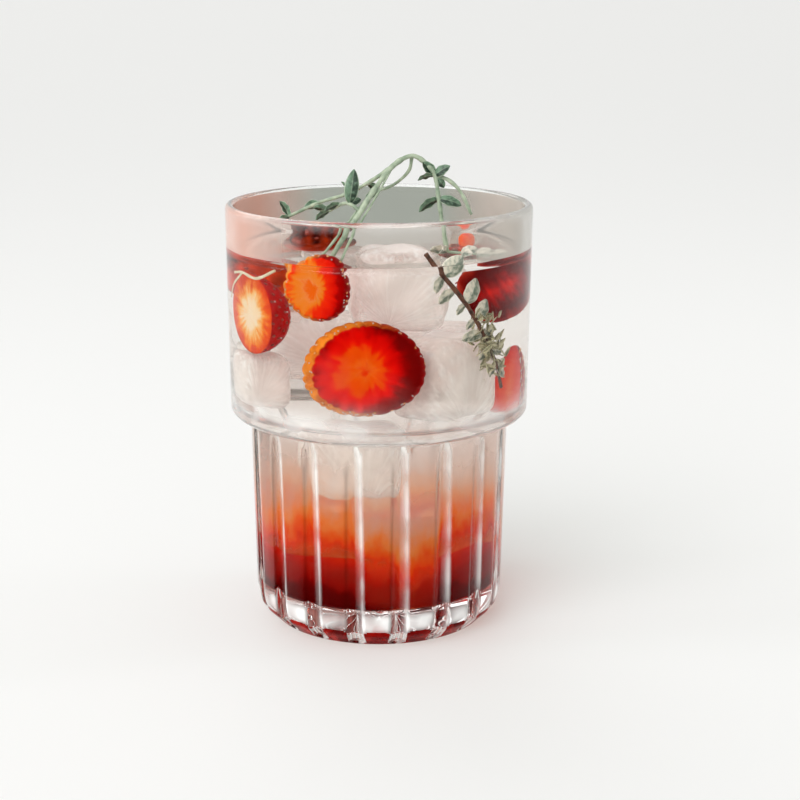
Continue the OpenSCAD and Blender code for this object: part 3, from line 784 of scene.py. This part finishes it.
# %% Seeds and bubbles
def plain_wet(name, dark, light, speckle, roughness):
    """A small wet or fresh thing: two close colours mottled at a given size in mm, softly shiny."""
    material, tree, place = new_finish(name)
    mottle = add(tree, "TexNoise", {"Vector": place, "Scale": 1 / (speckle * MM), "Detail": 3.0})
    colour = add(tree, "ValToRGB", {"Fac": mottle}, stops=[(0.3, dark), (0.7, light)])
    bump = add(tree, "Bump", {"Height": mottle, "Strength": 0.3, "Distance": 0.2 * MM})
    show(tree, add(tree, "BsdfPrincipled", {"Base Color": colour, "Roughness": roughness, "Normal": bump}))
    return material


def air_bubble():
    """A bubble in the drink: hardly coloured, half clear, and elsewhere a white that is its painted
    highlight.
    """
    material, tree, place = new_finish("air bubble")
    shade = add(tree, "TexNoise", {"Vector": place, "Scale": 1 / (0.4 * MM)})
    clear = add(tree, "MapRange", {"Value": shade, "To Min": 0.2, "To Max": 0.6})
    # Painted highlight: where the bubble isn't clear, its near-white base colour shows as a bright speck
    show(tree, add(tree, "BsdfPrincipled", {
        "Base Color": linear("#FFFDFB"), "Roughness": 0.1, "IOR": 1.12, "Transmission Weight": clear}))
    return material


# %% Colours of the fruit
slice_finish = strawberry("strawberry slice", [
    (0.0, "#FA3402"), (0.06, "#FA3A04"), (0.11, "#FF6E22"), (0.17, "#FF6410"), (0.28, "#FC5204"),
    (0.40, "#FC4E02"), (0.48, "#FA2602"), (0.56, "#F80A02"), (0.68, "#E40400"), (0.75, "#CE0000"),
    (0.88, "#9C0000"), (1.0, "#7C0000")], "#9C0000", "#FF9630")
small_finish = strawberry("small strawberry slice", [
    (0.0, "#FF6A0A"), (0.05, "#FF6A0A"), (0.10, "#FF924C"), (0.16, "#FF8A34"), (0.30, "#FF841C"),
    (0.38, "#FF580C"), (0.46, "#FF2E08"), (0.70, "#F21A04"), (0.88, "#E00C02"), (1.0, "#AC0000")],
    "#9C0000", "#FF9630")
pale_finish = strawberry("strawberry tip, pale cut", [
    (0.0, "#FFE2C8"), (0.26, "#FFDCB8"), (0.38, "#FFBE78"), (0.5, "#FB8E30"), (0.66, "#EE5010"),
    (1.0, "#D01800")], "#A00000", "#E80C04")
dark_finish = strawberry("strawberry half", [
    (0.0, "#E81400"), (0.14, "#B40400"), (0.32, "#780000"), (0.5, "#600000"), (0.68, "#8C0600"),
    (1.0, "#D04A34")], "#480000", "#B80600")
back_finish = strawberry("ripe strawberry half", [(0.0, "#900400"), (1.0, "#520000")], "#2C0000", "#E0400C")
orange_finish = strawberry("strawberry low piece", [
    (0.0, "#F66A38"), (0.3, "#F2461A"), (0.6, "#E82808"), (1.0, "#C80600")], "#A80400", "#F03410")
pale_seeds = plain_wet("pale strawberry seeds", "#E07A2C", "#FBC88C", 0.5, 0.3)
red_seeds = plain_wet("ripe strawberry seeds", "#780A02", "#B43808", 0.5, 0.3)
bubble_finish = air_bubble()
flesh = [slice_finish, small_finish, pale_finish, dark_finish, back_finish, orange_finish]
print("fruit finishes:", [finish.name for finish in flesh])

# %% [markdown]
# ## Strawberries: the cuts
# A berry is cut in four ways here: across, into slices; near its end, which leaves a round tip;
# along, into halves; and into scraps. The skin is dented around every seed. That is why the rim of
# a slice is scalloped, with a seed in each notch. Small beads of air cling to the cuts.

# %% Seeds, beads and dents
DENT, DENT_W, LOBE = 0.4, 0.9, 0.9
SEED, BEAD = 1, 2


def eggs(places, out, along, size, finish):
    """Small eggs such as seeds: each a few rings along one way, with sizes out, sideways and along."""
    out, along = np.broadcast_to(out, places.shape), np.broadcast_to(along, places.shape)
    egg = ball(4, 7, 62) * np.array(size) / 2
    axes = np.stack([out, np.cross(along, out), along], -2)
    rings = np.einsum("ijk,nkl->nijl", egg, axes) + places[:, None, None, :]
    tips = size[2] / 2 * along
    return [skin(r, p - t, p + t, finish) for r, p, t in zip(rings, places, tips)]


def dent(points, places):
    """How far the skin is drawn in at points: a small bell around every seed."""
    far = np.linalg.norm(points[..., None, :] - places, axis=-1)
    return DENT * bell(far, DENT_W).sum(-1)


# %% Slices
def berry_slice(width, height, thick, lobes, bleach, right_shade, lean, seed):
    """A slice facing -Y: rings out over the front face, over the skin, and in over the back face.

    Round the slice the skin stands out in lobes between the seeds, at uneven steps, and it bulges from
    the front face to the back one, because the berry was wider there. Bleach draws the pale colours of
    the core outwards, the number after it paints shade that darkens the right side of flesh and skin,
    and lean is how far the back lies sideways and down from the front.
    """
    rng = np.random.default_rng(seed)
    phase = rng.uniform(0, 2 * np.pi, 2)
    steps = np.concatenate([[0], np.cumsum(rng.uniform(0.5, 1.5, lobes))])
    steps *= 2 * np.pi / steps[-1]
    deep = LOBE * rng.uniform(0.4, 1.0, lobes) * (0.75 - 0.25 * np.sin(steps[:-1]))

    def notch(phi, v):
        """How deep the skin is drawn in: most at each seed, 1 - |sin|^0.7 of the steps between seeds."""
        place = np.interp((phi + 0.03 * v) % (2 * np.pi), steps, np.arange(lobes + 1))
        return deep[np.rint(place).astype(int) % lobes] * (1 - np.abs(np.sin(np.pi * place)) ** 0.7)

    def surface(rho, v, phi):
        """A point at a share rho of the way out, a share v of the way back and an angle phi from the top."""
        lumps = 0.02 * np.sin(2 * phi + phase[0]) + 0.02 * np.sin(3 * phi + phase[1])
        bulge = 0.9 + 0.3 * v - 0.22 * v ** 2 + lumps
        reach = rho * bulge - notch(phi, v) * rho ** 6 / (width / 2)
        hollow = 0.2 * bell(rho, 0.14) + 0.35 * np.clip((rho - 0.9) / 0.1, 0, 1) ** 2
        y = thick * (v - 0.5) + hollow * (1 - 2 * v)
        x = width / 2 * reach * np.sin(phi) + lean[0] * v
        return xyz(x, y, height / 2 * reach * np.cos(phi) - lean[1] * v)

    def outwards(phi):
        """The way out of the slice at an angle from the top."""
        return np.stack([np.sin(phi), 0 * phi, np.cos(phi)], -1)

    face = np.linspace(0.04, 1, 26)
    edge = np.linspace(0, 1, 13)[1:-1]
    rho = np.concatenate([face, np.ones(len(edge)), face[::-2]])[:, None]
    v = np.concatenate([0 * face, edge, np.ones(len(face[::-2]))])[:, None]
    phi = circle(12 * lobes)[None, :]
    rings = surface(rho, v, phi)
    rings[..., 1] += 0.12 * ripple(rings, 5, seed)
    fibre = xyz(7 * np.sin(phi), 7 * np.cos(phi), 1.5 * rho + 9 * v)
    # Painted shade: the flesh and skin darken towards the right side of the slice
    ripe = right_shade * np.clip(rho * (0.2 + 0.8 * np.sin(phi)), 0, 1)
    body = skin(rings, ring=(1 - bleach) * rho, peel=(v > 0.02) & (v < 0.98), fibre=fibre, ripe=ripe)

    seed_v = rng.uniform(0.15, 0.8, lobes)
    seed_phi = steps[:-1] - 0.03 * seed_v
    places = surface(np.ones(lobes), seed_v, seed_phi)
    seeds = eggs(places, outwards(seed_phi), [0.0, 1.0, 0.0], (0.6, 0.9, 1.3), SEED)
    air_phi = rng.uniform(0, 2 * np.pi, lobes)
    air = surface(np.ones(lobes), rng.uniform(0.0, 0.5, lobes), air_phi)
    out = outwards(air_phi)
    return [body] + seeds + eggs(air + 0.1 * out, out, [0.0, 1.0, 0.0], (0.45, 0.45, 0.45), BEAD)


# %% Tip
def berry_tip(radius, length, seed):
    """The end of a berry: a cut face across Z = 0, then a dome to its point along +Z."""
    face = np.linspace(0.05, 1, 20)
    a = np.radians(np.linspace(3, 86, 30))
    rho = np.concatenate([face, np.cos(a)])[:, None]
    z = np.concatenate([0.25 * face ** 8, length * np.sin(a)])[:, None]
    u = circle(120)[None, :]
    rings = xyz(radius * rho * np.cos(u), radius * rho * np.sin(u), z)
    count, golden_angle = 90, math.radians(137.5)
    step = np.arange(count)
    height = 0.06 + 0.9 * (step + 0.5) / count
    wide, turn_by = radius * np.sqrt(1 - height ** 2), step * golden_angle
    places = np.stack([wide * np.cos(turn_by), wide * np.sin(turn_by), length * height], -1)
    on_skin = (np.arange(len(rho)) >= len(face))[:, None]
    rings = rings - unit(rings) * (dent(rings, places) * on_skin)[..., None]
    ring = np.where(on_skin, 1.0, rho)
    fibre = xyz(6 * np.cos(u), 6 * np.sin(u), 1.5 * ring)
    body = skin(rings, (0, 0, 0), (0, 0, length), ring=ring, peel=on_skin, fibre=fibre, ripe=0.25 * on_skin)
    out = unit(places)
    along = unit(np.cross(np.cross(out, [0, 0, 1.0]), out))
    seeds = eggs(places - 0.2 * out, out, along, (0.5, 0.75, 1.2), SEED)
    some = np.random.default_rng(seed).choice(count, 18, replace=False)
    air = places[some] + 0.9 * along[some]
    return [body] + seeds + eggs(air, out[some], along[some], (0.5, 0.5, 0.5), BEAD)


# %% Halves and scraps
def berry_width(s, shoulder):
    """How wide a berry is at a share s of its length: s^shoulder (1 - s)^0.5, made one at its widest."""
    width = s ** shoulder * (1 - s) ** 0.5
    middle = shoulder / (shoulder + 0.5)
    return width / (middle ** shoulder * (1 - middle) ** 0.5)


def berry_half(length, radius, wide, slant, shoulder, seed):
    """Half a berry along X, cut at Z = 0: every ring is a half circle closed by the straight cut.

    A slant draws the rings sideways along the berry, for a piece that was cut askew. The smaller the
    shoulder, the blunter the broad end.
    """
    s = (0.5 - 0.5 * np.cos(np.pi * np.linspace(0.045, 0.955, 60)))[:, None]
    a = np.linspace(0, np.pi, 48)
    back = np.linspace(-1, 1, 34)[1:-1]
    y = np.concatenate([np.cos(a), back])[None, :]
    z = np.concatenate([np.sin(a), 0 * back])[None, :]
    x = length * (s - 0.5)
    r = berry_width(s, shoulder)
    rings = xyz(x, wide * r * y, radius * r * z)
    rows, each = 8, 7
    row = np.repeat(np.arange(rows), each)
    seed_s = (row + 0.6) / (rows + 0.4)
    seed_a = np.pi * (np.tile(np.arange(each) + 0.3, rows) + 0.4 * (row % 2)) / each
    seed_r = berry_width(seed_s, shoulder)
    places = xyz(length * (seed_s - 0.5), wide * seed_r * np.cos(seed_a), radius * seed_r * np.sin(seed_a))
    on_skin = (np.arange(y.shape[1]) < len(a))[None, :]
    way = rings * np.array([0, 1, 1])
    way /= np.maximum(np.linalg.norm(way, axis=-1, keepdims=True), 0.1)
    rings = rings - way * (dent(rings, places) * on_skin)[..., None]
    rings[..., 2] = np.maximum(rings[..., 2], 0)
    peel = on_skin & (z > 0.03)
    core = np.sqrt(y ** 2 + (2 * np.abs(s - 0.45)) ** 4)
    # The ripeness field darkens the skin towards +Y
    body = skin(rings, (-length / 2, 0, 0.2), (length / 2, 0, 0.2), ring=np.where(on_skin, 1.0, core),
                peel=peel, fibre=xyz(0.8 * x, 0.6 * y, seed), ripe=(0.12 + 0.35 * y) * peel)
    out = unit(places * np.array([0, 1, 1]))
    seeds = eggs(places - 0.2 * out, out, [1.0, 0.0, 0.0], (0.5, 0.8, 1.25), SEED)
    rng = np.random.default_rng(seed)
    air_s, side = rng.uniform(0.1, 0.9, 40), rng.choice([-1.0, 1.0], 40)
    air = xyz(length * (air_s - 0.5), side * wide * berry_width(air_s, shoulder), rng.uniform(0, 1, 40))
    skins = [body] + seeds + eggs(air, [0.0, 0.0, 1.0], [1.0, 0.0, 0.0], (0.5, 0.5, 0.5), BEAD)
    for one in skins:
        one["points"] = one["points"] + slant * one["points"][:, :1] * np.array([0.0, 1.0, 0.0])
    return skins


def berry_scrap(size, seed):
    """A scrap of flesh: a small lumpy rounded box, orange all through."""
    rings = rounded_box(size, 2.6, seed) * 1.02
    ring = 0.3 + 0.2 * ripple(rings, 3, seed)
    return [skin(rings, ring=ring, peel=0 * ring, ripe=0 * ring, fibre=rings)]


# %% Fruit as pieces
def keep_inside(points, gap=0.5):
    """Draw points that reach the glass back to a gap from its inside."""
    room = np.interp(points[..., 2], INSIDE[:, 1], INSIDE[:, 0]) - gap
    share = np.minimum(1, room / np.maximum(np.hypot(points[..., 0], points[..., 1]), 1))
    return np.concatenate([points[..., :2] * share[..., None], points[..., 2:]], -1)


# A piece: its name, skins, place, turns about X, Y and Z in degrees, flesh and seeds
FRUIT = [
    ("strawberry_large_slice", berry_slice(31, 26, 6, 30, 0.0, 1.0, (-1.0, 0.6), 3),
     (-3.1, -30, 79.7), (0, 0, 0), slice_finish, pale_seeds),
    ("strawberry_small_slice", berry_slice(17.4, 17.4, 6.4, 21, 0.5, 1.8, (0, 0.6), 8),
     (-15.4, -28.4, 101.4), (0, 0, -10), small_finish, pale_seeds),
    ("strawberry_tip", berry_tip(11, 11, 2),
     (-31.6, -15.2, 91.6), (0, 90, 22), pale_finish, red_seeds),
    ("strawberry_back_half", berry_half(22, 11, 11, 0.0, 0.38, 1),
     (-17.5, 18.6, 100.3), (90, 0, 8), back_finish, red_seeds),
    ("strawberry_right_half", berry_half(20.6, 9, 9, 0.0, 0.3, 4),
     (27.2, 3, 97.2), (-90, -27, 15), dark_finish, red_seeds),
    ("strawberry_wedge", berry_half(20.6, 8, 6.2, 0.15, 0.2, 6),
     (31.4, -9.2, 71.4), (0, -90, -114), orange_finish, pale_seeds),
    ("strawberry_bit", berry_scrap((4.6, 4.4, 4.2), 12),
     (25, 5, 108.4), (0, 0, 20), slice_finish, pale_seeds),
]
for name, skins, at, angles, finish, seeds in FRUIT:
    for one in skins:
        one["points"] = keep_inside(turn(one["points"], *angles) + np.array(at))
    join_skins(name + "_cut", skins, [finish, seeds, bubble_finish], name, name)

# %% [markdown]
# ## Thyme
# Thyme grows in thin stems with small oval leaves in pairs, their edges rolled under. The fresh
# sprig that arches out of the glass is green; the old one in the drink is woody, with pale leaves.
# A stem is a round tube along a smooth curve through the points of its route. A leaf is a flat
# tube: rings across it from stalk to tip, folded along the middle.

# %% Stem shapes
def smooth_route(route, steps=10):
    """Points of the curve that passes through the route's points, each stretch a cubic in t.

    The slope at a point is half the step from the point before it to the point after it.
    """
    p = np.array(route, float)
    p = np.concatenate([[2 * p[0] - p[1]], p, [2 * p[-1] - p[-2]]])
    a, b, c, d = (p[i:len(p) - 3 + i, None, :] for i in range(4))
    t = (np.arange(steps) / steps)[None, :, None]
    curve = b + 0.5 * t * (c - a + t * (2 * a - 5 * b + 4 * c - d + t * (3 * (b - c) + d - a)))
    return np.concatenate([curve.reshape(-1, 3), p[-2:-1]])


def stem(route, thick, thin, seed):
    """A tube of ten sides along a route, tapering, a little knotted."""
    path = smooth_route(route)
    run = unit(np.gradient(path, axis=0))
    side = unit(np.cross([0.0, 1.0, 0.0], run))
    over = np.cross(run, side)
    u = circle(10)[None, :, None]
    r = np.linspace(thick, thin, len(path)) * (1 + 0.12 * ripple(path, 3, seed))
    rings = np.cos(u) * side[:, None, :] + np.sin(u) * over[:, None, :]
    rings = path[:, None, :] + r[:, None, None] * rings
    return skin(rings, path[0] - 0.3 * r[0] * run[0], path[-1] + 0.3 * r[-1] * run[-1])


# %% Leaf shapes
def leaf(at, angles, length, width, finish=1):
    """A leaf from a point on a stem: rings across it, an oval outline, folded and rolled under.

    s runs along the leaf, a round each ring. Half its width is w = (4 s (1 - s))^0.7 (1.15 - 0.3 s)
    times half the leaf's width. The fold lifts both sides, the roll bends the very edges down again,
    a wave runs along the margins, and the tip bends down with the square of s.
    """
    s = np.linspace(0.01, 0.99, 19)[:, None]
    a = circle(18)[None, :]
    across = np.cos(a)
    w = width / 2 * np.maximum((4 * s * (1 - s)) ** 0.7 * (1.15 - 0.3 * s), 0.1)
    y = w * across
    lift = 0.55 * np.abs(y) - 1.1 * y ** 2 / width + 0.05 * width * np.sin(17 * s) * across
    z = 0.17 * np.sin(a) * (1 - 0.5 * across ** 2) + lift + 0.1 * length * (np.sin(np.pi * s) - s ** 2)
    rings = turn(xyz(length * s, y, z), *angles) + np.array(at)
    return skin(rings, finish=finish, across=across, along=s)


def bush(route, count, seed):
    """Small narrow leaves that crowd the lower end of a sprig, scattered around it at random angles."""
    rng = np.random.default_rng(seed)
    path = smooth_route(route)
    at = path[rng.integers(int(0.55 * len(path)), int(0.85 * len(path)), count)]
    at = at + rng.normal(0, 2.4, (count, 3))
    angles = [rng.uniform(0, 360, count), rng.uniform(-70, 60, count), rng.uniform(-180, 180, count)]
    length, width = rng.uniform(2.4, 5.4, count), rng.uniform(0.8, 1.9, count)
    return [leaf(*one, finish=2) for one in zip(at, np.stack(angles, -1), length, width)]


# %% Routes of the stems
ARCH = [
    (-12.9, -24, 107.8), (-9.5, -20.5, 113), (-5, -16.5, 119.5), (-0.5, -12.5, 126), (4, -9.5, 131.2),
    (9, -8, 133.6), (13, -8, 131.4), (15.3, -8, 128.2), (16.4, -9, 122), (17.4, -10, 115), (18.6, -11, 107.8)]
LEFT = [(4, -9.5, 131.2), (-2, -6, 126.6), (-9, -2, 122.4), (-17, 2, 119.4), (-25.5, 4.8, 115.2)]
LOW = [(-5, -16.5, 119.5), (-8, -15, 121.4), (-10.4, -13, 121), (-13.6, -10.8, 118.8)]
RIGHT = [(15.3, -8, 128.2), (19, -8, 127), (22.5, -8.2, 123.6), (25.4, -8.5, 117.6)]
SHORT = [(9, -8, 133.6), (8.2, -6.4, 129.4), (4.4, -5, 125.6), (-0.4, -4, 123.4)]
FLOATING = [(18.6, -11, 107.8), (22.4, -12, 107.6), (26.4, -13, 107.5), (30.4, -14.6, 107.6)]
STRAND_LEFT = [
    (-16, -23, 107.4), (-11.6, -19.4, 112.6), (-6.6, -15.4, 118.6), (-1.6, -12, 124.8), (3, -9.6, 130)]
STRAND_RIGHT = [
    (-10, -25.4, 107.6), (-7.6, -21, 112.6), (-4, -17, 118.2), (0.4, -12.8, 125.2), (4, -9.5, 131.2)]
WOODY = [
    (12, -34.6, 111), (16.2, -33, 105), (19.2, -31.4, 101), (21.9, -29.6, 97), (24.4, -27.4, 92.4),
    (26.4, -25.4, 88), (28.4, -23.2, 83), (30, -21.2, 78), (31.2, -19.6, 71.8)]
STRAY = [(-26.2, -26.6, 105.4), (-31, -21.6, 102.4), (-34.6, -15.6, 103), (-36.6, -10.8, 102.2)]
STRAY_TWIG = [(-34.6, -15.6, 103), (-37, -10, 98.6), (-37.6, -7.6, 94.6)]
print("the arch rises to %.1f mm" % smooth_route(ARCH)[:, 2].max())

# %% Leaves
# A leaf: where it leaves its stem, its turns about X, Y and Z in degrees, its length and its width
ARCH_LEAVES = [
    (LOW[1], (80, -82, 10), 9.4, 4), (LOW[1], (60, -20, 20), 3.6, 2.2), (LOW[2], (60, 15, 200), 5, 2.6),
    (LOW[3], (60, -10, 150), 5, 3), (LOW[3], (60, 25, 200), 4.6, 2.8), (LEFT[2], (70, -55, 120), 4, 2.6),
    (LEFT[3], (70, 20, 150), 5, 2.8), (LEFT[4], (70, -60, 160), 5, 3), (LEFT[4], (60, 30, 170), 3.6, 2.6),
    (ARCH[7], (60, -50, 200), 5.4, 3), (ARCH[7], (70, -35, -15), 5, 3), (ARCH[7], (40, 10, 190), 5, 3),
    (ARCH[7], (80, 50, 10), 4.4, 2.6), (ARCH[8], (60, 30, 185), 6.6, 3.2), (ARCH[8], (60, 15, 0), 6.6, 3.2),
    (SHORT[3], (70, -40, 170), 4, 2.4), (SHORT[3], (70, 30, 190), 4, 2.4)]
FLOATING_LEAVES = [
    (FLOATING[1], (60, -12, 15), 5, 3), (FLOATING[1], (65, -8, -60), 5, 2.8),
    (FLOATING[2], (60, -14, -5), 4.6, 2.6), (FLOATING[2], (60, -6, -50), 5.6, 3),
    (FLOATING[3], (60, -10, -25), 4.4, 2.8), (FLOATING[0], (60, -10, 190), 5, 3),
    (FLOATING[0], (60, -16, -110), 5.4, 3)]
WOODY_LEAVES = [
    (WOODY[1], (80, -42, 15), 7.6, 4.8), (WOODY[1], (80, 60, 205), 5, 3), (WOODY[2], (80, 30, 210), 6, 3.4),
    (WOODY[3], (80, -62, 40), 7.4, 4.6), (WOODY[3], (80, 40, 215), 4, 2.4),
    (WOODY[4], (80, -48, 50), 6.6, 4.2), (WOODY[4], (80, 35, 220), 4, 2.4),
    (WOODY[5], (75, 6, 205), 6.6, 3.6), (WOODY[5], (80, -20, 50), 5, 2.8), (WOODY[6], (80, 10, 52), 5, 2.8),
    (WOODY[6], (80, 20, 225), 5, 2.8), (WOODY[7], (80, -25, 55), 4, 2.4), (WOODY[7], (80, 45, 56), 5, 2.8),
    (WOODY[7], (80, 30, 232), 4, 2.4)]
print("leaves:", len(ARCH_LEAVES + FLOATING_LEAVES + WOODY_LEAVES), "and the bush")

# %% [markdown]
# A thyme leaf has a pale midrib and a pale rolled edge, and its two halves are painted lighter and
# darker, as light and shade on its fold. Two fields of the leaf draw that: how far across it a point
# lies and how far along.

# %% Thyme finishes
def thyme_leaf(name, dark, light, edge):
    """A thyme leaf: one half painted in shade and one in light, faint side veins, a pale midrib and rolled
    edge.
    """
    material, tree, place = new_finish(name)
    mottle = add(tree, "TexNoise", {"Vector": place, "Scale": 1 / (1.2 * MM), "Detail": 4.0})
    across = add(tree, "Attribute", attribute_name="across")
    along = add(tree, "Attribute", attribute_name="along")
    apart = add(tree, "Math", {0: across}, operation="ABSOLUTE")
    slant = add(tree, "Math", {0: apart, 1: -8.0}, operation="MULTIPLY")
    phase = add(tree, "Math", {0: along, 1: 30.0, 2: slant}, operation="MULTIPLY_ADD")
    veins = add(tree, "Math", {0: phase}, operation="SINE")
    # Painted shade and light: the half of the leaf with across below zero is darker, the other half lighter
    half = add(tree, "MapRange", {
        "Value": across, "From Min": -0.2, "From Max": 0.2, "To Min": -0.14, "To Max": 0.14})
    tone = add(tree, "Math", {0: veins, 1: 0.04, 2: mottle}, operation="MULTIPLY_ADD")
    tone = add(tree, "Math", {0: tone, 1: half}, operation="ADD")
    green = add(tree, "ValToRGB", {"Fac": tone}, stops=[(0.3, dark), (0.7, light)])
    pale = add(tree, "ValToRGB", {"Fac": apart}, stops=[
        (0.0, "#B0B0B0"), (0.1, "#000000"), (0.8, "#000000"), (1.0, "#FFFFFF")])
    colour = add(tree, "Mix", {0: pale, 6: green, 7: linear(edge)}, data_type="RGBA")
    bump = add(tree, "Bump", {"Height": tone, "Strength": 0.6, "Distance": 0.4 * MM})
    show(tree, add(tree, "BsdfPrincipled", {"Base Color": colour, "Roughness": 0.45, "Normal": bump}))
    return material


green_stem = plain_wet("thyme stem", "#7C9078", "#BCC8AE", 2.2, 0.45)
green_leaf = thyme_leaf("thyme leaf", "#1C3424", "#6E8C72", "#B4C4AC")
bark = plain_wet("thyme wood", "#341810", "#7C4C34", 1.5, 0.6)
pale_leaf = thyme_leaf("old thyme leaf", "#6E7C6C", "#EEE6D6", "#FFF8EA")
dull_leaf = thyme_leaf("small old thyme leaf", "#77734E", "#CCC2A0", "#E0D8BC")
straw = plain_wet("pale thyme stem", "#D8C8A4", "#F4EAD4", 2, 0.5)
herbs = [green_stem, green_leaf, bark, pale_leaf, dull_leaf, straw]
print("herb finishes:", [finish.name for finish in herbs])

# %% Thyme as pieces
STEM_R, WOOD_R = 0.75, 0.7
# A stem of the arch: its route, the shares of its radius at both ends, and a seed
ARCH_STEMS = [
    (ARCH, 1, 0.8, 1), (LEFT, 0.8, 0.6, 2), (LOW, 0.7, 0.6, 3), (RIGHT, 0.8, 0.6, 4), (SHORT, 0.7, 0.5, 5),
    (FLOATING, 0.5, 0.4, 9), (STRAND_LEFT, 0.5, 0.4, 10), (STRAND_RIGHT, 0.5, 0.4, 10)]
arch_skins = [stem(route, STEM_R * thick, STEM_R * thin, seed) for route, thick, thin, seed in ARCH_STEMS]
arch_skins += [leaf(*one) for one in ARCH_LEAVES] + [leaf(*one, finish=2) for one in FLOATING_LEAVES]
woody_skins = [stem(WOODY, WOOD_R, 0.7 * WOOD_R, 6)] + [leaf(*one) for one in WOODY_LEAVES]
woody_skins += bush(WOODY, 80, 4)
for one in woody_skins:
    one["points"] = keep_inside(one["points"])
stray_skins = [stem(STRAY, 0.6 * WOOD_R, 0.5 * WOOD_R, 7), stem(STRAY_TWIG, 0.5 * WOOD_R, 0.4 * WOOD_R, 8)]
for name, skins, finishes, body, node, slot in [
        ("thyme_arch_sprig", arch_skins, [green_stem, green_leaf, pale_leaf],
         "thyme_arch", "thyme_arch", "thyme_green"),
        ("thyme_woody_sprig", woody_skins, [bark, pale_leaf, dull_leaf],
         "thyme_woody", "thyme_woody", "thyme_wood"),
        ("thyme_stray_stem", stray_skins, [straw], "strawberry_tip", "thyme_stray", "thyme_green")]:
    join_skins(name, skins, finishes, body, node)
